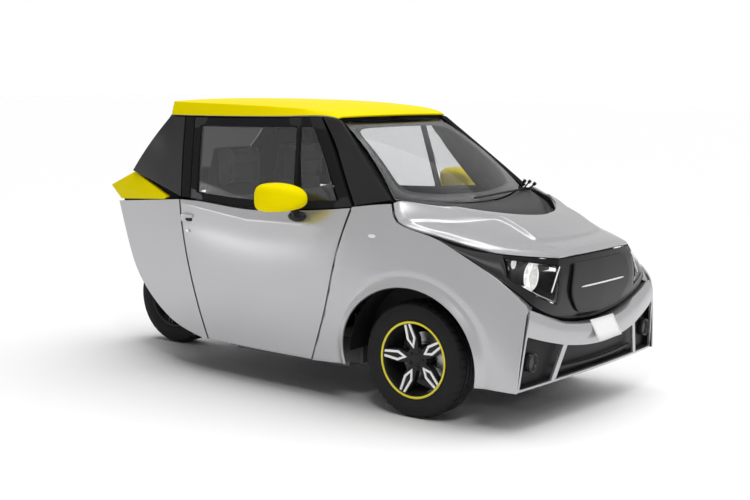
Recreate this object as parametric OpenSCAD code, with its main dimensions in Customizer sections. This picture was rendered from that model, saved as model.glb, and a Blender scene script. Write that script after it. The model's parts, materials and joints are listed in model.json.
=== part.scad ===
// Small three wheeled car: two steered wheels in front, one driven wheel behind.
// Millimetres. +X is forward, +Y is the car's left, +Z is up. The origin is on the floor,
// under the middle of the car. Left hand pieces are modelled and right hand ones mirror them.

/* [Wheels] */
// Radius of the tyres
tyre_r = 276; // [272:1:278]
// Width of the tyres
tyre_w = 165; // [155:1:168]
// Radius of the rim where the tyre sits
rim_r = 169; // [165:1:172]
// Place of the front axle along the car
front_axle_x = 875; // [870:1:880]
// Place of the rear axle along the car
rear_axle_x = -1249; // [-1250:1:-1245]
// Distance of a front wheel's middle from the centre line
front_wheel_y = 572; // [568:1:575]
// Distance of the steering axis from the centre line
kingpin_y = 445; // [442:1:446]
// Radius of the stub axles
stub_r = 16; // [14:1:18]
// Running clearance between a stub axle and its hub
stub_play = 0.05; // [0.02:0.01:0.1]
// Number of double spokes in a wheel
spoke_count = 5; // [5:1:6]

/* [Body] */
// Gap between neighbouring panels
gap = 5; // [4:1:6]
// Gap at the rear edge of the doors
door_gap = 9; // [8:1:10]
// Thickness of the fixed outer panels
panel_t = 12; // [10:1:14]
// Thickness of the doors
door_t = 50; // [40:1:55]
// Thickness of the window frames
frame_t = 30; // [25:1:35]
// Thickness of the glass
glass_t = 6; // [5:1:7]
// Half length of a front wheel arch
arch_rx = 383; // [380:1:390]
// Height of a front wheel arch above the axle
arch_rz = 350; // [345:1:355]
// How far the lip of a wheel arch stands out
arch_flare = 14; // [8:1:18]
// Width of the flared band round a wheel arch
flare_band = 80; // [60:1:100]

/* [Hidden] */
$fn = 48;
sill_z = 200;
waist_z = 560;
belt_ref_z = 930;

// Body side sections: place along the car, half widths at sill, waist and belt, height of the belt line
BODY_SECTIONS = [
    [-1420, 385, 420, 425, 866],
    [-1200, 435, 465, 470, 880],
    [-900, 505, 545, 545, 902],
    [-600, 578, 622, 605, 930],
    [-150, 632, 672, 632, 908],
    [300, 655, 697, 655, 938],
    [520, 668, 706, 656, 966],
    [720, 682, 711, 650, 1012],
    [1000, 692, 711, 636, 1012],
    [1250, 694, 688, 596, 1012],
    [1480, 684, 622, 496, 1012],
];

// Roof sections: place along the car, half width and height of the lower edge,
// half width and height of the shoulder, height of the crown
ROOF_SECTIONS = [
    [-828, 504, 1362, 482, 1434, 1446],
    [-600, 524, 1364, 502, 1430, 1450],
    [-300, 538, 1370, 512, 1427, 1451],
    [0, 538, 1378, 507, 1420, 1445],
    [150, 522, 1386, 490, 1411, 1428],
    [245, 490, 1386, 466, 1397, 1406],
    [285, 465, 1373, 448, 1382, 1385],
];
roof_rear_x = -828;
roof_front_x = 285;

// Door edges: height, place along the car of the front edge and of the rear edge
DOOR_EDGES = [
    [190, 268, -470],
    [457, 385, -548],
    [800, 458, -650],
    [970, 505, -690],
];

// Edge of the fender round its outside: column of the grid, place along the car, height
FENDER_EDGE = [
    [0, 1455, 208],
    [4, 1464, 465],
    [6, 1465, 560],
    [7, 1448, 594],
    [8, 1422, 622],
    [10, 1318, 704],
    [12, 1182, 774],
    [14, 1030, 845],
    [15, 961, 866],
    [16, 866, 883],
    [17, 811, 897],
    [18, 776, 911],
    [19, 750, 938],
    [20, 725, 993],
    [22, 623, 982],
    [24, 510, 965],
];
fender_columns = 32;
fender_door_column = 24;
fender_low_z = 196;

// Lip of the front wheel arch: share of the band's width, share of the flare
ARCH_LIP = [
    [0.00, 1.00],
    [0.25, 0.30],
    [0.50, -0.35],
    [0.80, -0.20],
    [1.00, 0.00],
];

// Bonnet sections from rear to front: share of the length, place of the side edge (x, y, z),
// share of the half width and height where the raised middle ends, place of the middle (x, z),
// how far the sides lie below the raised middle
BONNET_SECTIONS = [
    [0.00, 734, 622, 999, 0.72, 986, 1185, 929, 4],
    [0.05, 760, 641, 944, 0.60, 968, 1200, 923, 8],
    [0.10, 784, 648, 919, 0.53, 955, 1214, 917, 11],
    [0.16, 815, 650, 905, 0.485, 941, 1231, 909, 13],
    [0.24, 869, 651, 892, 0.47, 929, 1254, 899, 14],
    [0.36, 964, 644, 875, 0.472, 909, 1288, 882, 14],
    [0.52, 1092, 603, 841, 0.495, 884, 1316, 868, 14],
    [0.70, 1212, 540, 811, 0.555, 851, 1364, 844, 12],
    [0.85, 1330, 460, 797, 0.62, 822, 1422, 815, 5],
    [1.00, 1458, 346, 786, 0.66, 785, 1480, 787, 0],
];
bonnet_step_end = 0.715;
bonnet_step_w = 22;

// Nose mask from the middle to its tip: share, lower edge (x, y, z), upper edge (x, y, z)
MASK_EDGES = [
    [0.00, 1470, 0, 464, 1480, 0, 773],
    [0.25, 1466, 250, 484, 1474, 240, 771],
    [0.40, 1464, 378, 512, 1462, 354, 770],
    [0.55, 1452, 560, 586, 1398, 414, 776],
    [0.66, 1408, 600, 638, 1330, 466, 781],
    [0.76, 1300, 620, 706, 1214, 544, 794],
    [0.86, 1182, 636, 768, 1130, 586, 811],
    [0.94, 1090, 642, 812, 1060, 612, 830],
    [1.00, 1000, 642, 848, 996, 632, 852],
];

// Bumper rows from the bottom up: middle (x, z), corner (x, y, z)
BUMPER_ROWS = [
    [1500, 222, 1448, 664, 208],
    [1506, 235, 1450, 664, 218],
    [1525, 352, 1466, 632, 458],
    [1532, 404, 1475, 625, 506],
    [1516, 450, 1472, 612, 545],
    [1486, 456, 1464, 592, 570],
    [1440, 448, 1424, 576, 556],
];

// Lower and rear edge of the quarter panel: share of its height, place along the car, height
TAIL_EDGE = [
    [0.00, -490, 192],
    [0.14, -756, 240],
    [0.30, -950, 334],
    [0.50, -1130, 485],
    [0.70, -1210, 645],
    [1.00, -1300, 866],
];

// Half width of the tailgate from top to bottom
TAILGATE_WIDTHS = [
    [0.00, 466],
    [0.40, 472],
    [0.70, 452],
    [0.85, 424],
    [1.00, 385],
];

SILVER = [0.69, 0.68, 0.69];
YELLOW = [0.94, 0.86, 0.02];
BLACK = [0.10, 0.10, 0.11];
DARK_GLASS = [0.22, 0.23, 0.25, 0.7];
STEEL = [0.45, 0.45, 0.47];

// Curves
function lerp(a, b, t) = a + (b - a) * t;

function row_at(table, x, i = 0) =
    i >= len(table) - 2 || x < table[i + 1][0] ? i : row_at(table, x, i + 1);

function row_slope(table, column, i) =
    let (a = max(i - 1, 0), b = min(i + 1, len(table) - 1))
    (table[b][column] - table[a][column]) / (table[b][0] - table[a][0]);

// Smooth curve through one column of a table
function curve(table, column, x) =
    let (
        i = row_at(table, x),
        span = table[i + 1][0] - table[i][0],
        t = (x - table[i][0]) / span,
        start = row_slope(table, column, i) * span,
        end = row_slope(table, column, i + 1) * span
    )
    (2 * t ^ 3 - 3 * t ^ 2 + 1) * table[i][column] + (t ^ 3 - 2 * t ^ 2 + t) * start
    + (3 * t ^ 2 - 2 * t ^ 3) * table[i + 1][column] + (t ^ 3 - t ^ 2) * end;

// Straight runs through one column of a table
function run(table, column, x) =
    let (i = row_at(table, x))
    lerp(table[i][column], table[i + 1][column], (x - table[i][0]) / (table[i + 1][0] - table[i][0]));

// Quadratic through the sill, waist and belt half widths
function section_y(z, sill, waist, belt) =
    sill * (z - waist_z) * (z - belt_ref_z) / ((sill_z - waist_z) * (sill_z - belt_ref_z))
    + waist * (z - sill_z) * (z - belt_ref_z) / ((waist_z - sill_z) * (waist_z - belt_ref_z))
    + belt * (z - sill_z) * (z - waist_z) / ((belt_ref_z - sill_z) * (belt_ref_z - waist_z));

function side_y(x, z) =
    section_y(z, curve(BODY_SECTIONS, 1, x), curve(BODY_SECTIONS, 2, x), curve(BODY_SECTIONS, 3, x));

function belt_z(x) = curve(BODY_SECTIONS, 4, x);

function side(x, z) = [x, side_y(x, z), z];

function roof_at(column, x) = curve(ROOF_SECTIONS, column, max(min(x, roof_front_x), roof_rear_x));

// Upper body side: from the belt to the lower edge of the roof
function upper_side(x, z) =
    let (
        belt = belt_z(x),
        t = (z - belt) / (roof_at(2, x) - belt),
        y = lerp(side_y(x, belt) - 4, roof_at(1, x) - 4, t) + 22 * t * (1 - t)
    )
    [x, y, z];

function door_front_x(z) = curve(DOOR_EDGES, 1, z);
function door_rear_x(z) = curve(DOOR_EDGES, 2, z);

// Distance outside a wheel arch, 0 on its edge
function arch_reach(x, z) =
    (norm([(x - front_axle_x) / arch_rx, (z - tyre_r) / arch_rz]) - 1) * arch_rx;

function flare(x, z) =
    arch_flare * curve(ARCH_LIP, 1, max(0, min(1, arch_reach(x, z) / flare_band)));

// Grid of points with a thickness behind it, cells left out make openings
function direction(p) = p / norm(p);

function normal_of(f, u, v) =
    let (
        e = 0.004,
        along = f(min(u + e, 1), v) - f(max(u - e, 0), v),
        across = f(u, min(v + e, 1)) - f(u, max(v - e, 0))
    )
    direction(cross(along, across));

module skin(f, us, vs, t, keep = function(i, j) true) {
    nu = len(us) - 1;
    nv = len(vs) - 1;
    count = (nu + 1) * (nv + 1);
    outer = [for (u = us) for (v = vs) f(u, v)];
    inner = [for (u = us) for (v = vs) f(u, v) - t * normal_of(f, u, v)];
    id = function(i, j) i * (nv + 1) + j;
    on = function(i, j) i >= 0 && j >= 0 && i < nu && j < nv && keep(i, j);
    wall = function(a, b) [[a, b, b + count], [a, b + count, a + count]];
    faces = [
        for (i = [0:nu - 1]) for (j = [0:nv - 1]) if (on(i, j))
            let (a = id(i, j), b = id(i + 1, j), c = id(i + 1, j + 1), d = id(i, j + 1))
            each concat(
                [[a, d, c], [a, c, b]],
                [[a + count, c + count, d + count], [a + count, b + count, c + count]],
                on(i, j - 1) ? [] : wall(a, b),
                on(i, j + 1) ? [] : wall(c, d),
                on(i - 1, j) ? [] : wall(d, a),
                on(i + 1, j) ? [] : wall(b, c)
            )
    ];
    polyhedron(points = concat(outer, inner), faces = faces, convexity = 8);
}

function steps(n, low = 0, high = 1) = [for (i = [0:n]) lerp(low, high, i / n)];

// Closed rings of points joined one after the other, with flat ends
module loft(rings) {
    n = len(rings[0]);
    last = len(rings) - 1;
    id = function(i, k) i * n + k % n;
    faces = concat(
        [[for (k = [0:n - 1]) k]],
        [for (i = [0:last - 1]) for (k = [0:n - 1])
            each [[id(i, k), id(i + 1, k + 1), id(i, k + 1)], [id(i, k), id(i + 1, k), id(i + 1, k + 1)]]],
        [[for (k = [n - 1:-1:0]) id(last, k)]]
    );
    polyhedron(points = [for (r = rings) each r], faces = faces, convexity = 4);
}

module right_side() {
    mirror([0, 1, 0]) children();
}

module both_sides() {
    children();
    right_side() children();
}

// Round bar between two points
module rod(a, b, r) {
    d = b - a;
    translate(a)
        rotate([0, acos(d.z / norm(d)), atan2(d.y, d.x)])
            cylinder(r = r, h = norm(d));
}

module box(low, high) {
    translate(low) cube(high - low);
}

// Frame: floor pan with sills and jacking pads, bulkheads, front rails with strut towers,
// rear rails with the boot floor
floor_z = 190;
floor_t = 30;
floor_half = 540;
sill_w = 50;
sill_h = 120;
sill_rear_x = -480;
cabin_front_x = 480;
cabin_rear_x = -640;
bulkhead_t = 25;
front_bulkhead_z = 600;
rear_bulkhead_z = 860;
rear_bulkhead_half = 500;
rail_y = 225;
rail_w = 55;
rail_t = 90;
rail_front_x = 1395;
cross_beam = [40, 540, 290, 360];
bay_front_x = 1180;
tower_z = 580;
tower_t = 40;
tower_half = 70;
boot_floor_z = 610;
boot_floor_t = 15;
boot_rear_x = -1150;
boot_half = 385;
rear_rail_x = -915;
rear_rail_y = 160;
rear_rail_w = 40;
rear_rail_z = [260, 350];
rear_post_w = 35;
pad_x = 350;
pad_y = 515;
pad_r = 32;
pad_h = 14;
battery_x = [-430, 330];
battery_half = 420;
battery_z = 130;

module floor_pan() {
    color(BLACK) {
        box([cabin_rear_x, -floor_half, floor_z], [cabin_front_x, floor_half, floor_z + floor_t]);
        both_sides() {
            box([sill_rear_x, floor_half - sill_w, floor_z], [cabin_front_x, floor_half, floor_z + sill_h]);
            for (x = [-pad_x, pad_x])
                translate([x, pad_y, floor_z - pad_h]) cylinder(r = pad_r, h = pad_h);
        }
    }
}

module front_bulkhead() {
    color(BLACK)
        box([cabin_front_x, -floor_half, floor_z],
            [cabin_front_x + bulkhead_t, floor_half, front_bulkhead_z]);
}

module rear_bulkhead() {
    color(BLACK)
        box([cabin_rear_x - bulkhead_t, -rear_bulkhead_half, floor_z],
            [cabin_rear_x, rear_bulkhead_half, rear_bulkhead_z]);
}

module front_frame() {
    start = cabin_front_x + bulkhead_t;
    outer = rail_y + rail_w;
    beam_x = rail_front_x - cross_beam[0];
    color(BLACK) {
        both_sides() {
            box([start, rail_y, floor_z], [rail_front_x, outer, floor_z + rail_t]);
            box([front_axle_x - tower_half, rail_y, floor_z],
                [front_axle_x + tower_half, outer, tower_z + tower_t]);
            box([front_axle_x - tower_half, rail_y, tower_z],
                [front_axle_x + tower_half, kingpin_y + tower_t, tower_z + tower_t]);
            box([beam_x, rail_y, floor_z], [rail_front_x, outer, cross_beam[3]]);
        }
        box([start, -rail_y, floor_z], [bay_front_x, rail_y, floor_z + floor_t]);
        box([beam_x, -cross_beam[1], cross_beam[2]], [rail_front_x, cross_beam[1], cross_beam[3]]);
    }
}

module rear_frame() {
    start = cabin_rear_x - bulkhead_t;
    outer = rear_rail_y + rear_rail_w;
    color(BLACK) {
        both_sides() {
            box([rear_rail_x, rear_rail_y, rear_rail_z[0]], [start, outer, rear_rail_z[1]]);
            box([start - rear_post_w, rear_rail_y, rear_rail_z[0]],
                [start, outer, boot_floor_z + boot_floor_t]);
        }
        box([boot_rear_x, -boot_half, boot_floor_z], [start, boot_half, boot_floor_z + boot_floor_t]);
    }
}

module battery_pack() {
    color(STEEL)
        box([battery_x[0], -battery_half, battery_z], [battery_x[1], battery_half, floor_z]);
}

motor_x = -800;
motor_z = 462;
motor_r = 92;
motor_half = 120;
gear_r = 60;
gear_end = 145;

module drive_motor() {
    color(STEEL)
        translate([motor_x, 0, motor_z])
            rotate([-90, 0, 0]) {
                translate([0, 0, -motor_half]) cylinder(r = motor_r, h = 2 * motor_half);
                translate([0, 0, -motor_half]) cylinder(r = gear_r, h = motor_half + gear_end);
            }
}

// Inside: profiles seen from the side, as places along the car and heights
DASH_PROFILE = [
    [380, 640], [505, 610], [640, 640], [720, 905], [690, 930], [480, 915], [400, 860], [365, 740],
];
dash_half = 500;

module dashboard() {
    color(BLACK)
        translate([0, dash_half, 0])
            rotate([90, 0, 0])
                linear_extrude(2 * dash_half) polygon(DASH_PROFILE);
}

hand_wheel = [265, -285, 800];
hand_wheel_tilt = 65;
hand_wheel_r = 165;
hand_grip_r = 15;
hand_spoke = [158, 36, 16];
hand_boss = [50, 40];
hand_column = [28, 80];

module steering_wheel() {
    color(BLACK)
        translate(hand_wheel)
            rotate([0, -hand_wheel_tilt, 0]) {
                rotate_extrude() translate([hand_wheel_r, 0]) circle(r = hand_grip_r);
                for (a = [0, 120, 240])
                    rotate(a) translate([0, -hand_spoke.y / 2, -hand_spoke.z / 2]) cube(hand_spoke);
                translate([0, 0, -hand_boss[1] / 2]) cylinder(r = hand_boss[0], h = hand_boss[1]);
                translate([0, 0, -hand_column[1] - 10]) cylinder(r = hand_column[0], h = hand_column[1]);
            }
}

SEAT_PROFILE = [
    [30, 260], [40, 400], [0, 440], [-340, 400], [-370, 430], [-490, 930], [-500, 1000], [-510, 1180],
    [-545, 1210], [-600, 1200], [-605, 1020], [-625, 960], [-480, 300], [-440, 235], [-20, 235],
];
seat_w = 430;
seat_y = 268;

module seat() {
    translate([0, seat_y + seat_w / 2, 0])
        rotate([90, 0, 0])
            linear_extrude(seat_w) polygon(SEAT_PROFILE);
}

module seat_left() {
    color(BLACK) seat();
}

module seat_right() {
    color(BLACK) right_side() seat();
}

// Running gear
ball_z = 190;
knuckle_low_z = 214;
knuckle_high_z = 352;
wishbone = [130, 302, -12];
wishbone_r = 14;
bush_r = 20;
bush_l = 70;
ball_r = 27;
ball_h = 48;
strut_r = 20;

module front_suspension() {
    color(STEEL)
        both_sides() {
            for (e = [-1, 1]) {
                inner = [front_axle_x + e * wishbone.x, wishbone.y, ball_z + wishbone.z];
                rod(inner, [front_axle_x, kingpin_y, ball_z], wishbone_r);
                translate(inner - [bush_l / 2, 0, 0]) rotate([0, 90, 0]) cylinder(r = bush_r, h = bush_l);
            }
            translate([front_axle_x, kingpin_y, ball_z - 26]) cylinder(r = ball_r, h = ball_h);
            translate([front_axle_x, kingpin_y, knuckle_high_z + 2])
                cylinder(r = strut_r, h = tower_z - knuckle_high_z - 2);
        }
}

arm_y = 112;
arm_w = 30;
pivot_x = -880;
pivot_z = 305;
pivot_r = 30;
damper_r = 16;
damper_low = [-1090, 300];
damper_high = [-985, 604];

module swing_arm() {
    blade = [
        [pivot_x, pivot_z - 25], [pivot_x, pivot_z + 25],
        [rear_axle_x + 60, tyre_r + 30], [rear_axle_x - 30, tyre_r + 24],
        [rear_axle_x - 30, tyre_r - 24], [rear_axle_x + 60, tyre_r - 28],
    ];
    middle = arm_y + arm_w / 2;
    color(STEEL) {
        translate([pivot_x, -arm_y - arm_w, pivot_z])
            rotate([-90, 0, 0]) cylinder(r = pivot_r, h = 2 * (arm_y + arm_w));
        for (s = [-1, 1]) {
            translate([0, s > 0 ? arm_y + arm_w : -arm_y, 0])
                rotate([90, 0, 0])
                    linear_extrude(arm_w) polygon(blade);
            rod([damper_low.x, s * middle, damper_low.y],
                [damper_high.x, s * middle, damper_high.y], damper_r);
        }
        translate([rear_axle_x, -arm_y - 1, tyre_r])
            rotate([-90, 0, 0]) cylinder(r = stub_r, h = 2 * arm_y + 2);
    }
}

liner_r = 362;
liner_t = 4;
liner_y = 500;
liner_w = 150;

module arch_liners() {
    color(BLACK)
        for (s = [-1, 1])
            translate([front_axle_x, s > 0 ? liner_y : -liner_y - liner_w, tyre_r])
                rotate([-90, 0, 0])
                    rotate([0, 0, 180])
                        rotate_extrude(angle = 180) translate([liner_r, 0]) square([liner_t, liner_w]);
}

module tyre() {
    half = tyre_w / 2;
    rotate_extrude($fn = 96)
        polygon([
            [rim_r + 0.5, -half + 18], [rim_r + 22, -half + 8], [tyre_r - 50, -half],
            [tyre_r - 14, -half + 8], [tyre_r - 3, -half + 22], [tyre_r, -half + 40],
            [tyre_r, half - 40], [tyre_r - 3, half - 22], [tyre_r - 14, half - 8],
            [tyre_r - 50, half], [rim_r + 22, half - 8], [rim_r + 0.5, half - 18],
        ]);
}

hub_r = 60;
spoke_face = 56;
disc_r = 118;
disc_t = 18;

module rim_barrel() {
    half = tyre_w / 2;
    rotate_extrude($fn = 96)
        polygon([
            [rim_r - 12, -half + 14], [rim_r + 14, -half + 6], [rim_r + 14, -half + 9],
            [rim_r, -half + 18], [rim_r, half - 18], [rim_r + 14, half - 9],
            [rim_r + 14, half - 6], [rim_r - 6, half - 10], [rim_r - 12, half - 22],
        ]);
}

// Spoke outline: a kite from the hub to the rim, as distance from the axis and half width
PETAL = [[50, 0], [98, 25], [162, 16], [162, -16], [98, -25]];
petal_border = 10;
petal_t = 8;
spoke_t = 22;
spoke_margin = 6;
spoke_turn = -99;

module spokes() {
    for (k = [0:spoke_count - 1])
        rotate(spoke_turn + k * 360 / spoke_count)
            translate([0, 0, spoke_face - petal_t]) {
                linear_extrude(petal_t)
                    difference() {
                        polygon(PETAL);
                        offset(delta = -petal_border) polygon(PETAL);
                    }
                translate([0, 0, -spoke_t])
                    linear_extrude(spoke_t) offset(delta = spoke_margin) polygon(PETAL);
            }
}

// Wheel with its axis along Z and its outer face up
module front_rim() {
    difference() {
        union() {
            rim_barrel();
            spokes();
            translate([0, 0, -34]) cylinder(r = hub_r, h = spoke_face + 28);
            translate([0, 0, -52]) cylinder(r = disc_r, h = disc_t);
        }
        translate([0, 0, -60]) cylinder(r = stub_r + stub_play, h = 150);
    }
}

module rear_rim() {
    difference() {
        union() {
            rim_barrel();
            spokes();
            translate([0, 0, -100]) cylinder(r = hub_r, h = 200);
            translate([0, 0, -72]) cylinder(r = disc_r, h = disc_t);
        }
        translate([0, 0, -110]) cylinder(r = stub_r + stub_play, h = 220);
    }
}

module at_left_wheel() {
    translate([front_axle_x, front_wheel_y, tyre_r]) rotate([-90, 0, 0]) children();
}

module at_rear_wheel() {
    translate([rear_axle_x, 0, tyre_r]) rotate([90, 0, 0]) children();
}

module tyre_front_left() {
    color(BLACK) at_left_wheel() tyre();
}

module tyre_front_right() {
    color(BLACK) right_side() at_left_wheel() tyre();
}

module tyre_rear() {
    color(BLACK) at_rear_wheel() tyre();
}

module rim_front_left() {
    color(STEEL) at_left_wheel() front_rim();
}

module rim_front_right() {
    color(STEEL) right_side() at_left_wheel() front_rim();
}

module rim_rear() {
    color(STEEL) at_rear_wheel() rear_rim();
}

caliper_y = [496, 560];
caliper_slot_y = [517, 541];
caliper_x = [78, 128];
caliper_z = [-40, 50];
upright_r = 24;
stub_l = 170;
bracket_t = 16;
bracket_z = 30;

module knuckle() {
    translate([front_axle_x, kingpin_y, knuckle_low_z])
        cylinder(r = upright_r, h = knuckle_high_z - knuckle_low_z);
    translate([front_axle_x, kingpin_y, tyre_r]) {
        rotate([-90, 0, 0]) cylinder(r = stub_r, h = stub_l);
        box([0, -bracket_t / 2, -bracket_z], [110, bracket_t / 2, bracket_z]);
        box([88, -bracket_t / 2, -bracket_z], [118, caliper_y[0] - kingpin_y, bracket_z]);
    }
    translate([front_axle_x, 0, tyre_r])
        difference() {
            box([caliper_x[0], caliper_y[0], caliper_z[0]], [caliper_x[1], caliper_y[1], caliper_z[1]]);
            box([caliper_x[0] - 8, caliper_slot_y[0], caliper_z[0] - 10],
                [caliper_x[1] - 7, caliper_slot_y[1], caliper_z[1] + 10]);
        }
}

module knuckle_left() {
    color(STEEL) knuckle();
}

module knuckle_right() {
    color(STEEL) right_side() knuckle();
}

// Upper body
roof_side_share = 0.14;

function roof_point(u, v) =
    let (
        x = lerp(roof_rear_x, roof_front_x, u),
        s = 2 * v - 1,
        edge = 1 - roof_side_share,
        k = max(0, (abs(s) - edge) / roof_side_share),
        c = min(1, abs(s) / edge),
        y = k > 0 ? lerp(roof_at(3, x), roof_at(1, x), k) : roof_at(3, x) * c,
        z = k > 0 ? lerp(roof_at(4, x), roof_at(2, x), k) : lerp(roof_at(5, x), roof_at(4, x), c ^ 2.4)
    )
    [x, sign(s) * y, z];

module roof_cap() {
    half = [0, 0.035, 0.07, 0.14, 0.24, 0.36];
    color(YELLOW)
        skin(function(u, v) roof_point(u, v), [0, 0.12, 0.25, 0.4, 0.55, 0.7, 0.82, 0.9, 0.96, 1],
            concat(half, [0.5], [for (k = [5:-1:0]) 1 - half[k]]), panel_t);
}

// Windscreen: edges at the top and the bottom, middle and corner
screen_top = [262, 0, 1362];
screen_top_corner = [283, 424, 1354];
screen_low = [838, 0, 970];
screen_low_corner = [706, 568, 1008];
screen_bulge = 24;

function screen_point(u, v) =
    let (
        s = 2 * v - 1,
        top = lerp(screen_top, screen_top_corner, abs(s) ^ 2),
        low = lerp(screen_low, screen_low_corner, abs(s) ^ 2),
        p = lerp(top, low, u),
        y = lerp(screen_top_corner.y, screen_low_corner.y, u) * s,
        swell = screen_bulge * 4 * u * (1 - u)
    )
    [p.x + 0.56 * swell, y, p.z + 0.83 * swell];

module windscreen() {
    color(DARK_GLASS)
        skin(function(u, v) screen_point(u, v), steps(5), steps(10), glass_t);
}

// Pillars: screen pillar from the fender to the roof, and post behind the door
pillar_front = [[716, 1009], [297, 1366]];
pillar_rear = [[520, 973], [214, 1378]];
post_front = [[-602, 936], [-640, 1356]];
post_w = 68;

module pillars() {
    screen_pillar = function(u, v)
        let (
            a = lerp(pillar_front[0], pillar_front[1], v),
            b = lerp(pillar_rear[0], pillar_rear[1], v),
            p = lerp(a, b, u)
        )
        upper_side(p.x, p.y);
    post = function(u, v)
        let (p = lerp(post_front[0], post_front[1], v) - [post_w * u, 0])
        upper_side(p.x, p.y);
    skin(screen_pillar, steps(3), steps(6), frame_t);
    skin(post, steps(1), steps(5), frame_t);
}

module pillars_left() {
    color(BLACK) pillars();
}

module pillars_right() {
    color(BLACK) right_side() pillars();
}

// Dark panel behind the post, down to the tail wing
quarter_low = [[-680, 938], [-1144, 1046]];
quarter_high = [[-716, 1354], [-836, 1354]];

module quarter_window() {
    pane = function(u, v)
        let (p = lerp(lerp(quarter_low[0], quarter_low[1], u), lerp(quarter_high[0], quarter_high[1], u), v))
        upper_side(p.x, p.y);
    skin(pane, steps(5), steps(5), panel_t);
}

module quarter_window_left() {
    color(BLACK) quarter_window();
}

module quarter_window_right() {
    color(BLACK) right_side() quarter_window();
}

// Silver panel from the door to the tail
function tail_x(v) = curve(TAIL_EDGE, 1, v);
function tail_z(v) = curve(TAIL_EDGE, 2, v);

module quarter_panel() {
    sheet = function(u, v)
        let (
            z_front = lerp(196, belt_z(-700) - 2, v),
            a = [door_rear_x(z_front) - door_gap, z_front],
            b = [tail_x(v), tail_z(v)],
            p = lerp(a, b, u)
        )
        side(p.x, p.y);
    skin(sheet, steps(8), [0, 0.07, 0.14, 0.22, 0.3, 0.4, 0.5, 0.62, 0.75, 0.88, 1], panel_t);
}

module quarter_panel_left() {
    color(SILVER) quarter_panel();
}

module quarter_panel_right() {
    color(SILVER) right_side() quarter_panel();
}

// Wing on the rear corner: outline of its outer face and its thickness
WING_POINTS = [
    [-805, 566, 926],
    [-1140, 478, 1038],
    [-1392, 420, 948],
    [-1286, 446, 880],
    [-830, 566, 914],
];
wing_t = 26;

module tail_wing() {
    hull()
        for (p = WING_POINTS) {
            translate(p - [0, 2, 0]) sphere(r = 2, $fn = 8);
            translate(p - [0, wing_t - 2, 0]) sphere(r = 2, $fn = 8);
        }
}

module tail_wing_left() {
    color(YELLOW) tail_wing();
}

module tail_wing_right() {
    color(YELLOW) right_side() tail_wing();
}

// Tail between the quarter panels, open round the rear wheel
tail_bulge = 55;
slot_share = 0.4;

function tail_point(u, v) =
    let (
        s = 1 - 2 * u,
        x = tail_x(v),
        z = tail_z(v),
        y = side_y(x, z) - panel_t - gap
    )
    [x - tail_bulge * (1 - s ^ 2) * v, y * s, z];

module rear_panel() {
    us = [0, 0.1, 0.2, 0.3, 0.4, 0.5, 0.6, 0.7, 0.8, 0.9, 1];
    vs = [0.2, 0.3, 0.4, 0.5, 0.6, 0.72, 0.8, 0.9, 0.985];
    color(SILVER)
        skin(function(u, v) tail_point(u, v), us, vs, panel_t, function(i, j) j >= 5 || i < 3 || i > 6);
}

module tail_lamps() {
    raised = function(u, v) tail_point(u, v) + 20 * normal_of(function(a, b) tail_point(a, b), u, v);
    color("red") {
        skin(raised, steps(3, 0.04, 0.17), steps(4, 0.74, 0.96), 18);
        skin(raised, steps(3, 0.83, 0.96), steps(4, 0.74, 0.96), 18);
    }
}

// Tailgate: hinged under the rear edge of the roof
gate_top = [-826, 1406];
gate_low = [-1262, 900];
gate_bulge = 70;

function gate_point(u, v) =
    let (
        s = 1 - 2 * v,
        p = lerp(gate_top, gate_low, u),
        w = curve(TAILGATE_WIDTHS, 1, u),
        swell = gate_bulge * (1 - s ^ 2) * (0.12 + 0.88 * u)
    )
    [p.x - 0.8 * swell, w * s, p.y + 0.6 * swell * (1 - u)];

module tailgate() {
    us = [0, 0.09, 0.22, 0.36, 0.5, 0.64, 0.74, 0.87, 1];
    vs = [0, 0.09, 0.22, 0.36, 0.5, 0.64, 0.78, 0.91, 1];
    color(BLACK)
        skin(function(u, v) gate_point(u, v), us, vs, 22, function(i, j) i < 1 || i > 5 || j < 1 || j > 6);
}

module tailgate_glass() {
    color(DARK_GLASS)
        skin(function(u, v) gate_point(u, v), steps(6, 0.095, 0.735), steps(6, 0.097, 0.903), glass_t);
}

// Fender
arch_start = -11;
arch_end = 191;

function fender_edge(c) =
    let (
        door_share = (c - fender_door_column) / (fender_columns - fender_door_column),
        z = lerp(run(FENDER_EDGE, 2, fender_door_column), fender_low_z, door_share)
    )
    door_share <= 0 ? [run(FENDER_EDGE, 1, c), run(FENDER_EDGE, 2, c)] : [door_front_x(z) + gap, z];

// Half of the rows lie in the lip of the arch, the rest run on to the outer edge
module fender() {
    sheet = function(u, v)
        let (
            a = lerp(arch_start, arch_end, u),
            inner = [front_axle_x + arch_rx * cos(a), tyre_r + arch_rz * sin(a)],
            outer = fender_edge(u * fender_columns),
            lip = flare_band / norm(outer - inner),
            p = lerp(inner, outer, v < 0.5 ? 2 * v * lip : lerp(lip, 1, 2 * v - 1))
        )
        side(p.x, p.y) + [0, flare(p.x, p.y), 0];
    skin(sheet, steps(fender_columns), [0, 0.1, 0.2, 0.3, 0.4, 0.5, 0.66, 0.83, 1], panel_t);
}

module fender_left() {
    color(SILVER) fender();
}

module fender_right() {
    color(SILVER) right_side() fender();
}

// Bonnet: raised middle with a bevelled step round it, and sides that flatten towards the edge
flank_power = 1.8;

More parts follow.
